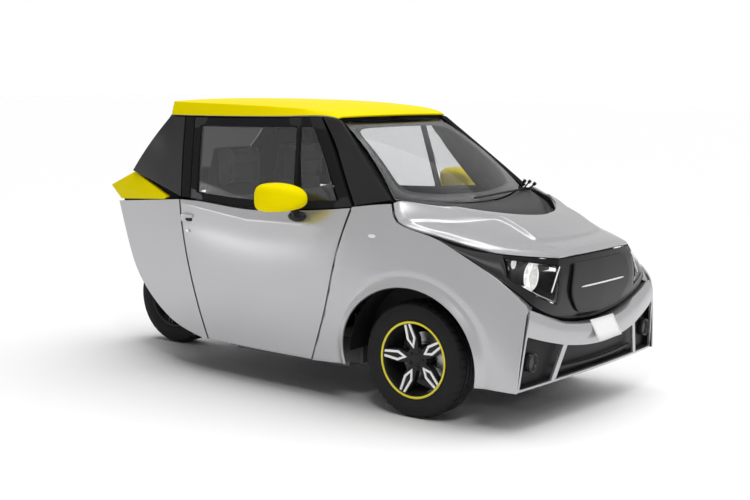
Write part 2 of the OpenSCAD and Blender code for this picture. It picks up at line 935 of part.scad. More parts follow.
function bonnet_at(u, s) =
    let (
        a = abs(s),
        row = [for (c = [0:8]) c == 0 ? u : curve(BONNET_SECTIONS, c, u)],
        top_share = row[4],
        foot_share = top_share + bonnet_step_w / row[2],
        drop = row[8],
        foot_z = row[5] - drop,
        top_z = lerp(row[7], row[5], (a / top_share) ^ 2) - (u > bonnet_step_end ? drop : 0),
        t = max(0, (a - foot_share) / (1 - foot_share)),
        flank_z = lerp(foot_z, row[3], 1 - (1 - t) ^ flank_power),
        step = max(0, min(1, (a - top_share) / (foot_share - top_share))),
        step_z = lerp(row[5] - (u > bonnet_step_end ? drop : 0), foot_z, step)
    )
    [lerp(row[6], row[1], a ^ 2), row[2] * s, a < top_share ? top_z : t > 0 ? flank_z : step_z];

// Columns of the bonnet: place in the grid, with the step between these two
step_top = 0.5;
step_foot = 0.56;

function bonnet_share(u, p) =
    let (
        top_share = curve(BONNET_SECTIONS, 4, u),
        foot_share = top_share + bonnet_step_w / curve(BONNET_SECTIONS, 2, u)
    )
    p <= step_top ? top_share * p / step_top
    : p <= step_foot ? lerp(top_share, foot_share, (p - step_top) / (step_foot - step_top))
    : lerp(foot_share, 1, (p - step_foot) / (1 - step_foot));

function bonnet_point(u, v) =
    let (s = 2 * v - 1)
    bonnet_at(u, sign(s) * bonnet_share(u, abs(s)));

module bonnet() {
    half = [1, 0.91, 0.8, 0.68, step_foot, step_top, 0.34, 0.17];
    rows = [0, 0.05, 0.1, 0.16, 0.24, 0.36, 0.52, 0.62, 0.7, 0.735, 0.8, 0.88, 0.95, 1];
    color(SILVER)
        skin(function(u, v) bonnet_point(u, v), rows,
            concat([for (p = half) 0.5 - p / 2], [0.5], [for (k = [7:-1:0]) 0.5 + half[k] / 2]), panel_t);
}

// Cowl between the windscreen and the bonnet: a ridge that falls into a trough along the bonnet
cowl_lift = 16;
cowl_trough = 42;

function cowl_point(u, v) =
    let (
        s = 2 * v - 1,
        rear = screen_point(1, v) + [6, 0, -6],
        front = bonnet_at(0, s) + [-7, 0, -8],
        p = lerp(rear, front, u),
        fade = 1 - s ^ 4,
        trough = max(0, min(1, (u - 0.7) / 0.16))
    )
    [p.x, p.y * 0.985, p.z + fade * (cowl_lift * sin(180 * min(1, u / 0.7)) - cowl_trough * trough)];

module cowl() {
    color(BLACK)
        skin(function(u, v) cowl_point(u, v), [0, 0.2, 0.4, 0.56, 0.7, 0.86, 1], steps(14), panel_t);
}

// Wiper: block with three knobbed arms beside the screen, and a blade along the screen's lower edge
WIPER_ARMS = [
    [[784, 452, 1006], [805, 450, 1042]],
    [[803, 450, 1006], [835, 450, 1041]],
    [[836, 448, 1004], [865, 450, 1031]],
];
wiper_arm_r = 4;
wiper_knob_r = 9;
wiper_knob_half = 7;
wiper_block = [[774, 438, 997], [846, 462, 1010]];
wiper_blade = [[810, 440, 1003], [905, -190, 1002]];
wiper_blade_r = 5;

module wiper() {
    color(BLACK) {
        for (arm = WIPER_ARMS) {
            half = wiper_knob_half * direction(arm[1] - arm[0]);
            rod(arm[0], arm[1], wiper_arm_r);
            rod(arm[1] - half, arm[1] + half, wiper_knob_r);
        }
        box(wiper_block[0], wiper_block[1]);
        rod(wiper_blade[0], wiper_blade[1], wiper_blade_r);
    }
}

// Black nose mask round the headlamps
function mask_point(u, v) =
    let (
        s = 2 * u - 1,
        a = abs(s),
        low = [for (c = [1:3]) curve(MASK_EDGES, c, a)],
        high = [for (c = [4:6]) curve(MASK_EDGES, c, a)],
        p = lerp(low, high, v),
        swell = 26 * 4 * v * (1 - v) * (1 - a ^ 3)
    )
    [p.x + 0.9 * swell, sign(s) * (p.y + 0.25 * swell * min(1, 2 * a)), p.z + 0.15 * swell];

MASK_SHARES = [0, 0.13, 0.26, 0.41, 0.47, 0.54, 0.62, 0.72, 0.8, 0.88, 0.95, 1];
MASK_ROWS = [0, 0.1, 0.2, 0.36, 0.55, 0.74, 0.9, 1];
lamp_shares = [0.41, 0.72];
lamp_rows = [0.2, 0.9];

module nose_mask() {
    n = len(MASK_SHARES) - 1;
    us = concat([for (k = [n:-1:1]) 0.5 - MASK_SHARES[k] / 2], [for (m = MASK_SHARES) 0.5 + m / 2]);
    in_lamp = function(i, j)
        let (share = MASK_SHARES[i < n ? n - 1 - i : i - n], row = MASK_ROWS[j])
        share >= lamp_shares[0] && share < lamp_shares[1] && row >= lamp_rows[0] && row < lamp_rows[1];
    color(BLACK)
        skin(function(u, v) mask_point(u, v), us, MASK_ROWS, panel_t, function(i, j) !in_lamp(i, j));
}

// Mask surface moved along its normal
function mask_raised(u, v, reach) =
    mask_point(u, v) + reach * normal_of(function(a, b) mask_point(a, b), u, v);

// Raised middle of the mask: share of its height, share of its half width
GRILLE_WIDTHS = [
    [0.10, 0.195],
    [0.42, 0.30],
    [0.90, 0.262],
];
grille_reach = 14;
grille_t = 11;

module grille_panel() {
    sheet = function(u, v)
        let (row = lerp(GRILLE_WIDTHS[0][0], GRILLE_WIDTHS[2][0], v), w = curve(GRILLE_WIDTHS, 1, row))
        mask_raised(0.5 + (2 * u - 1) * w / 2, row, grille_reach);
    color(BLACK) skin(sheet, steps(10), steps(6), grille_t);
}

// Back plates of the headlamps, behind the openings of the mask
housing_back = [150, 60, 0];
housing_t = 8;

module lamp_housings() {
    sheet = function(u, v)
        mask_point(0.5 + lerp(lamp_shares[0] - 0.01, lamp_shares[1] + 0.01, u) / 2,
            lerp(lamp_rows[0] - 0.04, lamp_rows[1] + 0.03, v)) - housing_back;
    color(BLACK) both_sides() skin(sheet, steps(5), steps(4), housing_t);
}

// Headlamp: clear cover flush with the mask, a round bowl behind it and a small one beside that
lamp_centre = [1318, 424, 691];
lamp_r = 67;
small_lamp_centre = [1246, 478, 748];
small_lamp_r = 26;

module lamp_bowl(r) {
    rotate([0, 90, 0])
        rotate_extrude()
            polygon(r * [[0, 0], [0.6, 0.06], [1, 0.6], [1, 0.7], [0.55, 0.2], [0, 0.14]]);
}

module headlamp() {
    skin(function(u, v) mask_point(u, v), steps(5, 0.503 + lamp_shares[0] / 2, 0.497 + lamp_shares[1] / 2),
        steps(4, lamp_rows[0] + 0.018, lamp_rows[1] - 0.012), glass_t);
    translate(lamp_centre) lamp_bowl(lamp_r);
    translate(small_lamp_centre) lamp_bowl(small_lamp_r);
}

module headlamp_left() {
    color("white") headlamp();
}

module headlamp_right() {
    color("white") right_side() headlamp();
}

// Bumper: lip, slanted bars, beam and ledge, with a middle intake and two side vents
function bumper_point(s, row) =
    let (
        r = min(floor(row), len(BUMPER_ROWS) - 2),
        k = row - r,
        a = BUMPER_ROWS[r],
        b = BUMPER_ROWS[r + 1],
        p = lerp(a, b, k)
    )
    [lerp(p[0], p[2], s ^ 2), p[3] * s, lerp(p[1], p[4], s ^ 2)];

// Columns of the bumper's left half: share of the half width at the lip and at the beam
BUMPER_COLUMNS = [
    [0, 0],
    [0.15, 0.13],
    [0.3, 0.26],
    [0.45, 0.39],
    [0.59, 0.52],
    [0.64, 0.57],
    [0.8, 0.78],
    [0.982, 0.982],
    [1, 1],
];
bumper_bar_column = 4;
bumper_corner_column = 7;

function bumper_share(column, row) =
    let (
        i = min(floor(column), len(BUMPER_COLUMNS) - 2),
        share = lerp(BUMPER_COLUMNS[i], BUMPER_COLUMNS[i + 1], column - i)
    )
    lerp(share[0], share[1], max(0, min(1, row - 1)));

module bumper() {
    n = len(BUMPER_COLUMNS) - 1;
    rows = len(BUMPER_ROWS) - 1;
    sheet = function(u, v)
        let (c = (2 * u - 1) * n, row = v * rows)
        bumper_point(sign(c) * bumper_share(abs(c), row), row);
    open = function(i, j)
        let (c = i < n ? n - 1 - i : i - n)
        j == 1 && c != bumper_bar_column && c != bumper_corner_column;
    color(SILVER)
        skin(sheet, steps(2 * n), steps(rows), panel_t, function(i, j) !open(i, j));
}

// Dark insets behind the bumper's openings, with a splitter in the middle and a round lamp at each side
inset_depth = 38;
splitter_depth = 14;
splitter_rows = [1.24, 1.34];
splitter_share = 0.55;
fog_lamp = [1436, 560, 330];
fog_lamp_r = 42;
fog_lamp_t = 18;

module bumper_insets() {
    inset = function(u, v)
        bumper_point(lerp(-0.98, 0.98, u), lerp(0.9, 2.1, v)) - [inset_depth, 0, 0];
    splitter = function(u, v)
        let (row = lerp(splitter_rows[0], splitter_rows[1], v))
        bumper_point(splitter_share * (2 * u - 1), row) - [splitter_depth, 0, 0];
    color(BLACK) {
        skin(inset, steps(10), steps(2), 10);
        skin(splitter, steps(8), steps(1), 10);
        both_sides()
            translate(fog_lamp) rotate([0, 90, 0]) cylinder(r = fog_lamp_r, h = fog_lamp_t);
    }
}

// Doors
door_low_z = 198;
door_ref_z = 960;

module door_panel() {
    sheet = function(u, v)
        let (
            z0 = lerp(door_low_z, door_ref_z, v),
            x = lerp(door_front_x(z0), door_rear_x(z0), u),
            z = lerp(door_low_z, belt_z(x) - 2, v)
        )
        side(lerp(door_front_x(z), door_rear_x(z), u), z);
    skin(sheet, steps(8), steps(6), door_t);
}

module door_panel_left() {
    color(SILVER) door_panel();
}

module door_panel_right() {
    color(SILVER) right_side() door_panel();
}

// Window frame of the door, with a main pane and a small front pane. Ends are places along the car
// at the bottom and at the top
frame_front = [506, 206];
frame_rear = [-593, -631];
frame_bar = [152, 88];
bar_w = 20;
frame_front_w = 62;
frame_rear_w = 46;

// Columns of the frame from front to rear, at share v of the height
function frame_column(k, v) =
    let (
        front = lerp(frame_front[0], frame_front[1], v),
        rear = lerp(frame_rear[0], frame_rear[1], v),
        bar = lerp(frame_bar[0], frame_bar[1], v)
    )
    [
        front, front - frame_front_w, bar + bar_w / 2, bar - bar_w / 2,
        lerp(bar, rear, 0.5), rear + frame_rear_w, rear,
    ][k];

FRAME_ROWS = [0, 0.09, 0.36, 0.63, 0.9, 1];

function frame_point(c, v) =
    let (
        i = min(floor(c), 5),
        x = lerp(frame_column(i, v), frame_column(i + 1, v), c - i),
        low = belt_z(x) + 3,
        high = roof_at(2, x) - 10,
        z = lerp(low, high, v)
    )
    upper_side(x, z);

module door_frame() {
    sheet = function(u, v) frame_point(u * 6, v);
    glazed = function(i, j) j >= 1 && j <= 3 && (i == 1 || i == 3 || i == 4);
    skin(sheet, steps(6), FRAME_ROWS, frame_t, function(i, j) !glazed(i, j));
}

module door_frame_left() {
    color(BLACK) door_frame();
}

module door_frame_right() {
    color(BLACK) right_side() door_frame();
}

module door_glass() {
    pane = function(u, v) frame_point(u * 6, v) - [0, 8, 0];
    rows = steps(4, FRAME_ROWS[1] + 0.012, FRAME_ROWS[4] - 0.012);
    skin(pane, [1.08 / 6, 1.5 / 6, 1.94 / 6], rows, glass_t);
    skin(pane, [3.01 / 6, 3.5 / 6, 4 / 6, 4.5 / 6, 4.98 / 6], rows, glass_t);
}

module door_glass_left() {
    color(DARK_GLASS) door_glass();
}

module door_glass_right() {
    color(DARK_GLASS) right_side() door_glass();
}

// Mirror: housing in rings from its rear face to its tip, as place along the car,
// middle and half width across, middle and half height
MIRROR_RINGS = [
    [98, 790, 89, 995, 61],
    [107, 790, 95, 996, 68],
    [150, 786, 94, 997, 70],
    [205, 776, 84, 997, 66],
    [255, 758, 62, 996, 53],
    [288, 742, 36, 993, 33],
    [300, 734, 15, 991, 14],
];
mirror_squareness = 0.62;
mirror_points = 24;

// Foot of the mirror on the door: distance from the skin, share of its size
MIRROR_FOOT = [
    [1, 1],
    [16, 0.96],
    [32, 0.78],
    [42, 0.4],
];
mirror_foot = [192, 900];
mirror_foot_size = [58, 27];
mirror_arm = [[200, 682, 905], [212, 742, 958]];
mirror_arm_r = 15;

function squared(c) = sign(c) * abs(c) ^ mirror_squareness;

module mirror_housing() {
    turn = 360 / mirror_points;
    loft([for (r = MIRROR_RINGS) [for (k = [0:mirror_points - 1])
        [r[0], r[1] + r[2] * squared(cos(k * turn)), r[3] + r[4] * squared(sin(k * turn))]]]);
    loft([for (r = MIRROR_FOOT) [for (k = [mirror_points - 1:-1:0])
        let (
            x = mirror_foot.x + r[1] * mirror_foot_size.x * cos(k * turn),
            z = mirror_foot.y + r[1] * mirror_foot_size.y * sin(k * turn)
        )
        [x, side_y(x, z) + r[0], z]]]);
    rod(mirror_arm[0], mirror_arm[1], mirror_arm_r);
}

module mirror_left() {
    color(YELLOW) mirror_housing();
}

module mirror_right() {
    color(YELLOW) right_side() mirror_housing();
}

floor_pan();
front_bulkhead();
rear_bulkhead();
front_frame();
rear_frame();
battery_pack();
drive_motor();
dashboard();
steering_wheel();
seat_right();
seat_left();
front_suspension();
swing_arm();
arch_liners();
roof_cap();
windscreen();
pillars_right();
pillars_left();
quarter_window_right();
quarter_window_left();
quarter_panel_right();
quarter_panel_left();
tail_wing_right();
tail_wing_left();
rear_panel();
tail_lamps();
fender_right();
fender_left();
cowl();
wiper();
nose_mask();
grille_panel();
lamp_housings();
headlamp_right();
headlamp_left();
bumper();
bumper_insets();
door_panel_right();
door_panel_left();
door_frame_right();
door_frame_left();
door_glass_right();
door_glass_left();
mirror_right();
mirror_left();
bonnet();
tailgate();
tailgate_glass();
knuckle_right();
knuckle_left();
tyre_front_right();
rim_front_right();
tyre_front_left();
rim_front_left();
tyre_rear();
rim_rear();
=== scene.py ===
import bmesh
import bpy
import json
import math
from mathutils import Matrix, Vector


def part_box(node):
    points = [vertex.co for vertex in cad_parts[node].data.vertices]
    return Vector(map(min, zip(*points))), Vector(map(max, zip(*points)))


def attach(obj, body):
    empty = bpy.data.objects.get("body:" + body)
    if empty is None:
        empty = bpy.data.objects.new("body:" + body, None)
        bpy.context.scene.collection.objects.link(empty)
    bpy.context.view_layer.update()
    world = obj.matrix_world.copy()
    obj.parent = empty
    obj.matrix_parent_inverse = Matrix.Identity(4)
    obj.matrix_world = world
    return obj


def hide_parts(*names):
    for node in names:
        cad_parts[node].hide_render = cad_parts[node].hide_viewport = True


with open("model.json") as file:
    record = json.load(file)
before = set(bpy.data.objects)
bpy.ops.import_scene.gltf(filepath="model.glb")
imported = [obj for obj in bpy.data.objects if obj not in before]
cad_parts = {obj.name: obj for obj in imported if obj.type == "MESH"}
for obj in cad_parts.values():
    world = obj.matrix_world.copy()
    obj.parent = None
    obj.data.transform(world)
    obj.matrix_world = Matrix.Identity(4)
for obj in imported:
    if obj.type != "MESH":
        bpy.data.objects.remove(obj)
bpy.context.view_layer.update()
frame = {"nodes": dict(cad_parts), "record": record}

# Camera, floor and light. The car stands on a pale studio floor that runs on without an edge, under one
# wide light overhead and a softbox in front. A ceiling strip and a side panel only show as reflections.
scene = bpy.context.scene
scene.view_settings.view_transform = "Standard"

EYE = (4.4279, -5.7215, 1.5963)
YAW, PITCH, ROLL = math.radians(36.818), math.radians(-7.449), math.radians(0.615)
ahead = Vector((-math.sin(YAW) * math.cos(PITCH), math.cos(YAW) * math.cos(PITCH), math.sin(PITCH)))
level = ahead.cross(Vector((0, 0, 1))).normalized()
rise = level.cross(ahead)
across = level * math.cos(ROLL) + rise * math.sin(ROLL)
upward = rise * math.cos(ROLL) - level * math.sin(ROLL)
camera = bpy.data.objects.new("camera", bpy.data.cameras.new("camera"))
camera.matrix_world = Matrix.Translation(EYE) @ Matrix((across, upward, -ahead)).transposed().to_4x4()
camera.data.sensor_width = 36
camera.data.lens = 65.30
camera.data.shift_x = 0.0048
camera.data.shift_y = 0.0007
scene.collection.objects.link(camera)
scene.camera = camera


def new_finish(name, colour, rough, metal=0.0, **sockets):
    """Material with its own Principled shader. Numbers that hold all over the surface go on its sockets."""
    coat = bpy.data.materials.new(name)
    coat.use_nodes = True
    shader = coat.node_tree.nodes["Principled BSDF"]
    shader.inputs["Base Color"].default_value = (*colour, 1)
    shader.inputs["Roughness"].default_value = rough
    shader.inputs["Metallic"].default_value = metal
    for label, value in sockets.items():
        shader.inputs[label.replace("_", " ")].default_value = value
    return coat


def add_node(tree, kind, links=(), **values):
    """Shader node with its inputs set by name or number, or linked from other sockets."""
    node = tree.nodes.new("ShaderNode" + kind)
    for label, value in values.items():
        setattr(node, label, value)
    for label, value in dict(links).items():
        if isinstance(value, bpy.types.NodeSocket):
            tree.links.new(value, node.inputs[label])
        else:
            node.inputs[label].default_value = value
    return node


def combine(tree, operation, first, second):
    """Sum, product or other result of two values."""
    return add_node(tree, "Math", {0: first, 1: second}, operation=operation).outputs[0]


def effect_group(name, inputs, outputs):
    """Shader node group with named sockets. Gives the group, its input node and its output node."""
    group = bpy.data.node_groups.new(name, "ShaderNodeTree")
    for label, value in inputs.items():
        kind = "NodeSocketColor" if isinstance(value, tuple) else "NodeSocketFloat"
        group.interface.new_socket(label, in_out="INPUT", socket_type=kind).default_value = value
    for label in outputs:
        kind = "NodeSocketColor" if label == "Color" else "NodeSocketFloat"
        group.interface.new_socket(label, in_out="OUTPUT", socket_type=kind)
    return group, group.nodes.new("NodeGroupInput"), group.nodes.new("NodeGroupOutput")


# Tone drift: the slow change of tone and the fine speckle that any painted or moulded surface shows.
tone_drift, tone_in, tone_out = effect_group(
    "tone drift", {"Colour": (0.5, 0.5, 0.5, 1), "Grain": 900.0, "Depth": 0.06}, ("Color", "Mask"))
place = add_node(tone_drift, "TexCoord").outputs["Object"]
fine = add_node(tone_drift, "TexNoise", {"Vector": place, "Scale": tone_in.outputs["Grain"], "Detail": 2.0})
slow = add_node(tone_drift, "TexNoise", {"Vector": place, "Scale": 3.0, "Detail": 3.0})
both = combine(tone_drift, "ADD", fine.outputs["Fac"], slow.outputs["Fac"])
centred = combine(tone_drift, "SUBTRACT", both, 1.0)
scaled = combine(tone_drift, "MULTIPLY", centred, tone_in.outputs["Depth"])
value = combine(tone_drift, "ADD", scaled, 1.0)
tint = add_node(tone_drift, "HueSaturation", {"Value": value, "Color": tone_in.outputs["Colour"]})
tone_drift.links.new(tint.outputs["Color"], tone_out.inputs["Color"])
tone_drift.links.new(fine.outputs["Fac"], tone_out.inputs["Mask"])


def place_group(coat, group, **values):
    """One of the effect groups in a material, with that material's own values."""
    return add_node(coat.node_tree, "Group", values, node_tree=group)


def feed(coat, output, socket):
    """Links a node's output to a socket of the material's shader."""
    shader = coat.node_tree.nodes["Principled BSDF"]
    coat.node_tree.links.new(output, shader.inputs[socket])


def tinted(name, colour, rough, metal=0.0, grain=900.0, depth=0.06, spread=0.06, **sockets):
    """Finish with tone drift in its colour and roughness."""
    coat = new_finish(name, colour, rough, metal, **sockets)
    tone = place_group(coat, tone_drift, Colour=(*colour, 1), Grain=grain, Depth=depth)
    feed(coat, tone.outputs["Color"], "Base Color")
    gloss = add_node(coat.node_tree, "MapRange",
                     {"Value": tone.outputs["Mask"], "To Min": rough - spread, "To Max": rough + spread})
    feed(coat, gloss.outputs[0], "Roughness")
    return coat


floor_mesh = bpy.data.meshes.new("studio_floor")
floor_mesh.from_pydata([(-60, -60, 0), (60, -60, 0), (60, 60, 0), (-60, 60, 0)], [], [(0, 1, 2, 3)])
floor = bpy.data.objects.new("studio_floor", floor_mesh)
floor_mesh.materials.append(tinted("studio_floor", (0.96, 0.96, 0.965), 0.7, grain=30.0, depth=0.004))
scene.collection.objects.link(floor)

world = bpy.data.worlds.new("studio")
scene.world = world
world.use_nodes = True
sky = world.node_tree
backing = sky.nodes["Background"]
ray = add_node(sky, "LightPath").outputs
mirrored = add_node(sky, "MapRange", {"Value": ray["Is Glossy Ray"], "To Min": 0.16, "To Max": 0.74})
shown = combine(sky, "MAXIMUM", ray["Is Camera Ray"], ray["Is Transmission Ray"])
backing.inputs["Color"].default_value = (1, 1, 1, 1)
sky.links.new(combine(sky, "MAXIMUM", mirrored.outputs[0], shown), backing.inputs["Strength"])


def hang_light(name, kind, energy, place, aim=None, size=None):
    """Studio lamp at a place, facing down or aimed at a point: a sun, or a rectangle of the given size."""
    lamp = bpy.data.objects.new(name, bpy.data.lights.new(name, kind))
    lamp.data.energy = energy
    lamp.location = place
    if aim:
        lamp.rotation_euler = (Vector(aim) - Vector(place)).to_track_quat("-Z", "Y").to_euler()
    if size:
        lamp.data.shape = "RECTANGLE"
        lamp.data.size, lamp.data.size_y = size
    scene.collection.objects.link(lamp)
    return lamp


overhead = hang_light("overhead", "SUN", 2.95, (0, 0, 0), aim=(-0.22, -0.28, -1))
overhead.data.angle = math.radians(85)
overhead.visible_glossy = False
hang_light("softbox", "AREA", 75, (3.2, -4.0, 5.0), aim=(0.4, 0.0, 0.7), size=(1.1, 0.9))
ceiling = hang_light("ceiling", "AREA", 22, (0.7, 0.1, 4.4), size=(3.2, 0.7))
ceiling.visible_diffuse = False
side_panel = hang_light("side_panel", "AREA", 12, (-4.7, -4.2, 1.15), aim=(0.3, -0.6, 0.7), size=(2.0, 1.2))
side_panel.visible_diffuse = side_panel.visible_camera = False

# Frame: folded and welded steel boxes under the floor, dipped black. The floor pan, the two
# bulkheads, the front rails with their strut towers and the rear rails are welded to each other.
body_of = {node: body for body, nodes in frame["record"]["behaviour"]["bodies"].items() for node in nodes}
slot_of = {part["node"]: part["material_slot"] for part in frame["record"]["subparts"]}

# Road film: the thin dust that settles towards the ground, broken up by a soft noise.
road_film, film_in, film_out = effect_group(
    "road film", {"Colour": (0.5, 0.5, 0.5, 1), "Dust": (0.3, 0.29, 0.27, 1), "Top": 0.5, "Amount": 0.2},
    ("Color", "Mask"))
place = add_node(road_film, "TexCoord").outputs["Object"]
height = add_node(road_film, "SeparateXYZ", {0: place}).outputs["Z"]
fade = add_node(road_film, "MapRange", {"Value": height, "From Min": 0.1, "From Max": film_in.outputs["Top"],
                                        "To Min": 1.0, "To Max": 0.0})
cloud = add_node(road_film, "TexNoise", {"Vector": place, "Scale": 14.0, "Detail": 4.0})
broken = combine(road_film, "MULTIPLY", fade.outputs[0], cloud.outputs["Fac"])
film = combine(road_film, "MULTIPLY", broken, film_in.outputs["Amount"])
mixed = add_node(road_film, "Mix", {"Factor": film, 6: film_in.outputs["Colour"], 7: film_in.outputs["Dust"]},
                 data_type="RGBA")
road_film.links.new(mixed.outputs[2], film_out.inputs["Color"])
road_film.links.new(film, film_out.inputs["Mask"])

# Moulded grain: the leathery relief of textured plastic, rubber and cast metal.
moulded_grain, grain_in, grain_out = effect_group("moulded grain", {"Scale": 400.0, "Pits": 0.5}, ("Height",))
place = add_node(moulded_grain, "TexCoord").outputs["Object"]
cells = add_node(moulded_grain, "TexVoronoi", {"Vector": place, "Scale": grain_in.outputs["Scale"]})
noise = add_node(moulded_grain, "TexNoise",
                 {"Vector": place, "Scale": grain_in.outputs["Scale"], "Detail": 3.0})
pitted = combine(moulded_grain, "MULTIPLY", cells.outputs["Distance"], grain_in.outputs["Pits"])
summed = combine(moulded_grain, "ADD", pitted, noise.outputs["Fac"])
moulded_grain.links.new(summed, grain_out.inputs["Height"])


def dusty(coat, dust, top, amount):
    """Road film over a finish's own colour, up to a height above the ground."""
    own = tuple(coat.node_tree.nodes["Principled BSDF"].inputs["Base Color"].default_value)
    film_node = place_group(coat, road_film, Colour=own, Dust=(*dust, 1), Top=top, Amount=amount)
    feed(coat, film_node.outputs["Color"], "Base Color")


def emboss(coat, height, strength, depth):
    """Relief in a finish, from a height that changes over the surface."""
    bump = add_node(coat.node_tree, "Bump", {"Height": height, "Strength": strength, "Distance": depth})
    feed(coat, bump.outputs["Normal"], "Normal")


def grained(coat, scale, strength, depth, group=moulded_grain):
    """Relief of a grain or a weave in a finish."""
    emboss(coat, place_group(coat, group, Scale=scale).outputs["Height"], strength, depth)


frame_black = tinted("frame_black", (0.02, 0.02, 0.021), 0.5, grain=60.0, depth=0.3, spread=0.1)
dusty(frame_black, (0.12, 0.11, 0.1), 0.5, 0.6)
grained(frame_black, 250.0, 0.15, 0.001)


def node_mesh(node):
    """Mesh of a solid with its doubled corners joined."""
    bm = bmesh.new()
    bm.from_mesh(frame["nodes"][node].data)
    bmesh.ops.remove_doubles(bm, verts=bm.verts, dist=2e-5)
    return bm


def set_piece(name, bm, coats, sharp=None):
    """New object from a mesh, smooth shaded, with edges kept sharp above an angle."""
    mesh = bpy.data.meshes.new(name)
    bmesh.ops.recalc_face_normals(bm, faces=bm.faces)
    bm.to_mesh(mesh)
    bm.free()
    for face in mesh.polygons:
        face.use_smooth = True
    if sharp is not None:
        mesh.set_sharp_from_angle(angle=math.radians(sharp))
    for coat in coats if isinstance(coats, (list, tuple)) else [coats]:
        mesh.materials.append(coat)
    piece = bpy.data.objects.new(name, mesh)
    scene.collection.objects.link(piece)
    return piece


def fasten(piece, body, slot, *nodes):
    """Fixes a piece to a body and hides the solids that it stands for. The slot is not used."""
    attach(piece, body)
    if nodes:
        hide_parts(*nodes)
    return piece


def round_edges(piece, width, angle=30, rounds=2):
    """Rounds the edges of a piece that turn by more than an angle."""
    edge = piece.modifiers.new("rounded edges", "BEVEL")
    edge.limit_method = "ANGLE"
    edge.angle_limit = math.radians(angle)
    edge.width = width
    edge.segments = rounds
    edge.harden_normals = True


def weld_part(node, coat, edge=0.0015, ending="_part", sharp=32, **rounding):
    """Hard metal or plastic part: the solid with its flat faces whole and its edges rounded."""
    bm = node_mesh(node)
    bmesh.ops.dissolve_limit(bm, angle_limit=math.radians(0.5), verts=bm.verts, edges=bm.edges)
    piece = set_piece(node + ending, bm, coat, sharp)
    round_edges(piece, edge, **rounding)
    return fasten(piece, body_of[node], slot_of[node], node)


for node in ("floor_pan", "front_bulkhead", "rear_bulkhead", "front_frame", "rear_frame"):
    weld_part(node, frame_black, 0.003)

# Battery case under the floor and drive motor ahead of the rear wheel: pressed grey steel and
# ribbed cast alloy, bolted to the frame.
case_grey = tinted("case_grey", (0.13, 0.135, 0.14), 0.45, 0.3, grain=120.0, depth=0.2, spread=0.1)
weld_part("battery_pack", case_grey, 0.006)
cast_alloy = tinted("cast_alloy", (0.42, 0.42, 0.43), 0.42, 0.9, grain=200.0, depth=0.15, spread=0.12)
grained(cast_alloy, 500.0, 0.25, 0.0006)
weld_part("drive_motor", cast_alloy, 0.004)

RIB_COUNT, RIB_PITCH = 9, 0.022
RIB = ((-0.003, 0.088), (-0.003, 0.0965), (0.003, 0.0965), (0.003, 0.088))


def bridge(bm, near, far, spans=None):
    """Faces between two lines of points: all the way round, or only from the points that spans gives."""
    count = len(near)
    for k in range(count) if spans is None else spans:
        m = (k + 1) % count
        bm.faces.new((near[k], near[m], far[m], far[k]))


def lathe(bm, profile, centre, outward, steps):
    """Ring of faces turned about an axis along Y: profile of (distance outward, radius)."""
    rings = []
    for k in range(steps):
        turn = 2 * math.pi * k / steps
        rings.append([bm.verts.new((centre[0] + r * math.cos(turn), centre[1] + outward * w,
                                    centre[2] + r * math.sin(turn))) for w, r in profile])
    for near, far in zip(rings, rings[1:] + rings[:1]):
        bridge(bm, near, far, range(len(profile) - 1))
    return rings


motor_low, motor_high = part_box("drive_motor")
motor_mid = (Vector(motor_low) + Vector(motor_high)) / 2
bm = bmesh.new()
for k in range(RIB_COUNT):
    start = -0.09 + RIB_PITCH * k
    lathe(bm, [(start + w, r) for w, r in RIB], (motor_mid.x, 0, motor_mid.z), 1, 64)
fasten(set_piece("motor_ribs", bm, cast_alloy, sharp=40), "body", "motor_alloy")

# Running gear: forged steel wishbones and struts in front, a welded fork behind, and steered
# uprights with the brake calipers. All carry a thin film from the road.
CALIPER_X = 0.945
forged_steel = tinted("forged_steel", (0.3, 0.3, 0.31), 0.4, 0.85, grain=150.0, depth=0.25, spread=0.12)
dusty(forged_steel, (0.16, 0.15, 0.13), 0.45, 0.7)
caliper_alloy = tinted("caliper_alloy", (0.6, 0.6, 0.6), 0.35, 0.8, grain=300.0, depth=0.2, spread=0.1)
for node in ("front_suspension", "swing_arm", "knuckle_right", "knuckle_left"):
    part = weld_part(node, forged_steel, 0.002)
    if "knuckle" in node:
        part.data.materials.append(caliper_alloy)
        for face in part.data.polygons:
            face.material_index = int(face.center.x > CALIPER_X)

liner_black = tinted("liner_black", (0.01, 0.01, 0.011), 0.9, grain=80.0, depth=0.3, Specular_IOR_Level=0.1)
grained(liner_black, 180.0, 0.3, 0.002)
weld_part("arch_liners", liner_black, 0.001)

# Tyres: black rubber with ringed sidewalls, three grooves round the tread and cuts across its
# ribs. Each is moulded in one piece and holds on the rim by its beads.
rubber = tinted("tyre_rubber", (0.015, 0.015, 0.016), 0.75, grain=300.0, depth=0.25, spread=0.08,
                Specular_IOR_Level=0.18)
dusty(rubber, (0.05, 0.048, 0.045), 0.5, 0.3)
grained(rubber, 700.0, 0.2, 0.0005)

TYRE_STEPS = 240
TYRE_HALF = (
    (0.0, 0.276), (0.008, 0.276), (0.0085, 0.2695), (0.0155, 0.2695), (0.016, 0.276), (0.0355, 0.2755),
    (0.036, 0.269), (0.043, 0.269), (0.0435, 0.275), (0.056, 0.2735), (0.064, 0.2705), (0.0705, 0.266),
    (0.0745, 0.2615), (0.077, 0.257), (0.0775, 0.255), (0.0768, 0.2535), (0.0795, 0.245), (0.0815, 0.235),
    (0.0822, 0.224), (0.0815, 0.213), (0.0808, 0.2115), (0.0812, 0.2095), (0.079, 0.2), (0.0775, 0.1955),
    (0.0782, 0.194), (0.0775, 0.1915), (0.0745, 0.187), (0.072, 0.184), (0.07, 0.1795), (0.064, 0.1705),
)
SHOULDER_CUT, RIB_CUT = 0.005, 0.003
tyre_profile = [(-w, r) for w, r in reversed(TYRE_HALF)] + list(TYRE_HALF[1:])
